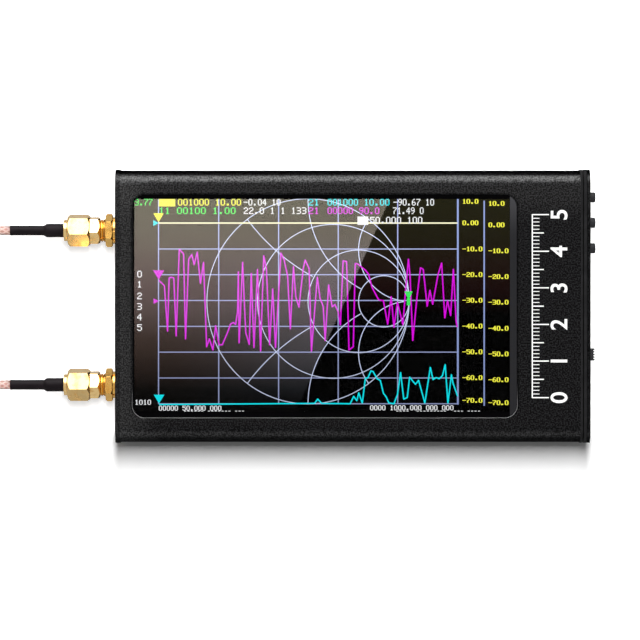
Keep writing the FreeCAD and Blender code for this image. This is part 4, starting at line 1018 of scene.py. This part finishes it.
# text, left edge, right edge and row of each readout, and its height where it is a small one
READOUTS = {
    "charge": (("3.77", 0.8, 23.0, 3.9), ("11 00100 1.00", 31.6, 129.2, 14.9)),
    "numbers": (("001000 10.00", 55.7, 136.2, 4.0),),
    "gain": (("21", 222.6, 236.0, 4.0), ("001000 10.00", 247.0, 326.0, 4.0)),
    "phase": (("21", 222.6, 236.0, 14.9), ("00000 90.0", 247.0, 313.0, 14.9)),
    "readout": (
        ("-0.04 10", 139.8, 186.7, 4.0), ("22.0 1 1 133", 139.8, 219.7, 14.9), ("-90.67 10", 331.4, 383.0, 4.0),
        ("71.49 0", 330.6, 369.6, 14.9), ("50.000 100", 301.5, 368.0, 27.0), ("0", 3.6, 9.4, 96.0),
        ("1", 3.6, 9.4, 109.0), ("2", 3.6, 9.4, 124.0), ("3", 3.6, 9.4, 137.5), ("4", 3.6, 9.4, 151.0),
        ("5", 3.6, 9.4, 164.5), ("1010", 0.8, 21.0, 260.0, 6.4), ("00000 50.000 000", 31.2, 111.0, 267.6, 6.4),
        ("0000 1000.000 000 000", 301.4, 407.8, 267.1, 6.4)),
}
# one more row of numbers, cut off by the lower edge: left edge, and where it has numbers
CUT_OFF = ((63.7, "000000 0000000 000"), (335.0, "0000  000000000  000 0000"))
CUT_OFF_ROW, CUT_OFF_PITCH = 271.8, 4.35
# ink, lift and corners of each marker
MARKER_LIFT, FRONT_LIFT = 0.02 * MM, 0.06 * MM
MARKERS = (
    ("numbers", MARKER_LIFT, ((24.2, -18.2), (37.6, -18.2), (31.0, -29.6))),
    ("gain", FRONT_LIFT, ((24.2, -26.8), (31.2, -30.7), (24.2, -34.6))),
    ("phase", MARKER_LIFT, ((24.0, -91.2), (38.2, -91.2), (31.2, -103.2))),
    ("phase", MARKER_LIFT, ((24.6, -127.0), (31.4, -130.6), (24.6, -134.2))),
    ("gain", MARKER_LIFT, ((24.8, -250.4), (38.4, -250.4), (31.6, -261.6))),
    ("charge", MARKER_LIFT, ((345.4, -118.2), (356.0, -118.2), (350.6, -129.4))))
# how much fainter each ink is at the bottom, in the order in which they lie on each other
INKS = {"grid": 0.5, "rule": 0.3, "chart": 0.35, "level": 0.0, "gain": 0.1, "phase": 0.1, "readout": 0.1,
        "charge": 0.1, "numbers": 0.1}


def draw_readouts(inks):
    """Plain numbers and markers."""
    for left, rows in LEVEL_COLUMNS:
        for text, row in zip(LEVELS, rows):
            right = left + len(text) * LEVEL_PITCH - LEVEL_GAP
            inks["numbers"].numbers(text, left, right, -row, LEVEL_TALL, LEVEL_BOLD)
    inks["numbers"].bar(31.3, -9.4, 21, 9.4)
    for ink, readouts in READOUTS.items():
        for text, left, right, row, *small in readouts:
            inks[ink].numbers(text, left, right, -row, *(small or (READOUT_TALL,)))
    inks["readout"].bar(285.3, -33.0, 13.9, 10.7, FRONT_LIFT)
    for left, text in CUT_OFF:
        for letter in re.finditer("0", text):
            inks["readout"].bar(left + letter.start() * CUT_OFF_PITCH, -CUT_OFF_ROW, 2.6, 0.9)
    for ink, lift, corners in MARKERS:
        inks[ink].patch(corners, lift)
    inks["charge"].bar(348.4, -136.0, 4.4, 9.0, MARKER_LIFT)


class ANALYZER_OT_screen(bpy.types.Operator):
    """Draw the lit display: grid, chart, two traces, markers and plain numbers"""

    bl_idname = "analyzer.screen"
    bl_label = "Display picture"

    def execute(self, context):
        screen = context.scene.analyzer_screen
        inks = {name: Drawing(PANEL_TOP + (0.02 + 0.015 * layer) * MM, (DOT_WIDE, DOT_TALL), (LIT_LEFT, LIT_TOP))
                for layer, name in enumerate(INKS)}
        draw_grid(inks["grid"], inks["rule"], inks["level"])
        draw_chart(inks["chart"])
        for name, spots in (("phase", PHASE), ("gain", GAIN)):
            inks[name].line([(column, -row) for column, row in spots], screen.line)
        draw_readouts(inks)
        for name, ink in inks.items():
            ink.piece("display_" + name, finish("Display " + name, lit_dots, getattr(screen, name), INKS[name]),
                      "display")
        return {"FINISHED"}


# --- studio ---

def white_floor(wire):
    """Pale floor that glows, as painted light, beside, behind and far from the case, so that its shadow shows
    only before it.
    Shiny surfaces mirror it mid grey, as painted shade.
    """
    (y,) = parts(wire, "Y")
    seen, through, glossy = rays(wire, "Camera", "Transmission", "Glossy")
    far = wire.node("VectorMath", {"operation": "LENGTH"}, {0: place_on(wire)}, "Value").spread(0.13, 0.4)
    # painted light: camera and transmission rays see the floor glow beside and behind the case and far off, which
    # washes out its shadow there
    lift = wire.maths("MAXIMUM", seen, through) * wire.maths("MAXIMUM", y.spread(-0.037, -0.034, 0.0, 0.6), far)
    fleck = cloud(wire, 0.05)
    # painted shade: in reflections the floor is mid grey
    tone = glossy.mixed(fleck.mixed((0.94, 0.94, 0.94), (0.96, 0.96, 0.96)), (0.4, 0.4, 0.4))
    return surface(wire, tone, 0.9 + 0.02 * fleck, Emission_Color=lift.mixed(BLACK, WHITE),
                   Emission_Strength=1.0, Specular_IOR_Level=0.1)


WALL_LEVELS = ((0.0, (0.01, 0.01, 0.01)), (0.1, (0.03, 0.025, 0.02)), (0.22, (0.23, 0.15, 0.12)),
               (0.34, (0.49, 0.33, 0.27)), (0.46, (1.0, 0.72, 0.66)), (0.58, (1.45, 1.04, 0.97)),
               (0.7, (1.78, 1.4, 1.22)), (0.8, (2.06, 1.76, 1.43)), (1.0, (2.16, 2.0, 1.5)))
ROOM_LEVELS = ((0.0, BLACK), (0.46, BLACK), (0.58, (0.11, 0.035, 0.03)), (0.7, (0.167, 0.09, 0.056)),
               (0.8, (0.167, 0.14, 0.06)), (1.0, (0.21, 0.2, 0.08)))


def glare_card(wire):
    """What the glass mirrors: a bright wall that fades downward, and a dark room past its slanting edge."""
    foot_x, foot_y, slant, tall, blur = -0.0241, -0.0618, 0.441, 0.13575, 0.0006
    x, y = parts(wire, "XY")
    up = y - foot_y
    past = (x - foot_x - slant * up).spread(-blur, blur)
    height, across = up * (1 / tall), x.spread(-0.12, 0.02)
    wall, room = (wire.node("ValToRGB", {"stops": levels}, {"Fac": height})
                  for levels in (WALL_LEVELS, ROOM_LEVELS))
    haze = (across * height.band(0.0, 0.35, 0.65, 0.85)).dimming((0.42, 0.52, 0.66))
    wall = wire.node("VectorMath", {"operation": "ADD"}, {0: (1.18 - 0.18 * across).dimming(wall), 1: haze})
    return wire.node("Emission", None, {"Color": past.mixed(wall, room), "Strength": 1.0})


CAMERA_SPOT = (-8.95 * MM, -3.79 * MM)
FLOOR_SIZE, FLOOR_GAP = 6.0, 0.02 * MM
CARD_SIZE, CARD_HEIGHT = (0.266, 0.18), 1.2217


def hide_from(thing, *kinds):
    for kind in kinds:
        setattr(thing, "visible_" + kind, False)


def flat_sheet(name, wide, tall, height, material):
    """A level sheet of the studio, which isn't part of the object."""
    corners = [(x * wide / 2, y * tall / 2, 0) for x, y in ((-1, -1), (1, -1), (1, 1), (-1, 1))]
    mesh = mesh_from(name, corners, [(0, 1, 2, 3)])
    mesh.materials.append(material)
    sheet = add_object(name, mesh)
    sheet.location.z = height
    return sheet


class ANALYZER_OT_studio(bpy.types.Operator):
    """Set up the camera, the floor, the lights and what the glass mirrors"""

    bl_idname = "analyzer.studio"
    bl_label = "Studio"

    def execute(self, context):
        studio, scene = context.scene.analyzer_studio, context.scene
        view = bpy.data.cameras.new("Camera")
        view.lens, view.sensor_width = studio.lens, 36.0
        view.clip_start, view.clip_end = 0.01, 20.0
        scene.camera = add_object("Camera", view)
        scene.camera.location = (*CAMERA_SPOT, studio.camera_height)
        scene.view_settings.view_transform = "Standard"

        flat_sheet("floor", FLOOR_SIZE, FLOOR_SIZE, -FLOOR_GAP, finish("Pale floor", white_floor))
        card = flat_sheet("glare_card", *CARD_SIZE, CARD_HEIGHT, finish("Glare card", glare_card))
        hide_from(card, "camera", "diffuse", "shadow", "volume_scatter")

        for name, power, size, place, target, hidden in (
                ("overhead", studio.overhead, (0.1, 0.466), (0.0, 0.272, 0.95), (0.0, 0.272, 0.0), "glossy"),
                ("high_panel", studio.facing, (0.8, 0.6), (-0.15, 0.7, 0.95), (-0.07, 0.0, 0.0), "diffuse"),
                ("tall_window", studio.window, (1.2, 0.8), (-0.15, 0.8, 0.42), (0.0, 0.0, 0.02), "diffuse")):
            lamp = bpy.data.lights.new(name, "AREA")
            lamp.shape, lamp.size, lamp.size_y, lamp.energy = "RECTANGLE", *size, power
            holder = add_object(name, lamp)
            holder.location = place
            holder.rotation_euler = (Vector(target) - Vector(place)).to_track_quat("-Z", "Y").to_euler()
            hide_from(holder, "camera", "transmission", hidden)

        world = scene.world = bpy.data.worlds.new("Surroundings")
        world.use_nodes = True
        world.node_tree.nodes.clear()
        wire = Wire(world.node_tree)
        glossy, seen = rays(wire, "Glossy", "Camera")
        light = seen.mixed(glossy.mixed((studio.sky,) * 3, (studio.horizon,) * 3), WHITE)
        wire.node("Background", None, {"Color": light, "Strength": 1.0}).output("World")
        return {"FINISHED"}


# --- add-on ---

STEPS = (ANALYZER_OT_studio, ANALYZER_OT_leads, ANALYZER_OT_couplings, ANALYZER_OT_case, ANALYZER_OT_scale,
         ANALYZER_OT_controls, ANALYZER_OT_inside, ANALYZER_OT_glass, ANALYZER_OT_screen)


class ANALYZER_PT_panel(bpy.types.Panel):
    """Sizes, colours and steps of the antenna analyzer"""

    bl_idname = "ANALYZER_PT_panel"
    bl_label = "Antenna Analyzer"
    bl_space_type = "VIEW_3D"
    bl_region_type = "UI"
    bl_category = "Analyzer"

    def draw(self, context):
        for name, kind in GROUPS.items():
            box = self.layout.box()
            for setting in kind.__annotations__:
                box.prop(getattr(context.scene, name), setting)
        for step in STEPS:
            self.layout.operator(step.bl_idname)


CLASSES = (*GROUPS.values(), *STEPS, ANALYZER_PT_panel)


def register():
    for kind in CLASSES:
        bpy.utils.register_class(kind)
    for name, kind in GROUPS.items():
        setattr(bpy.types.Scene, name, PointerProperty(type=kind))


def unregister():
    for name in GROUPS:
        delattr(bpy.types.Scene, name)
    for kind in reversed(CLASSES):
        bpy.utils.unregister_class(kind)


def main():
    register()
    for step in STEPS:
        family, name = step.bl_idname.split(".")
        getattr(getattr(bpy.ops, family), name)()


if __name__ == "__main__":
    main()
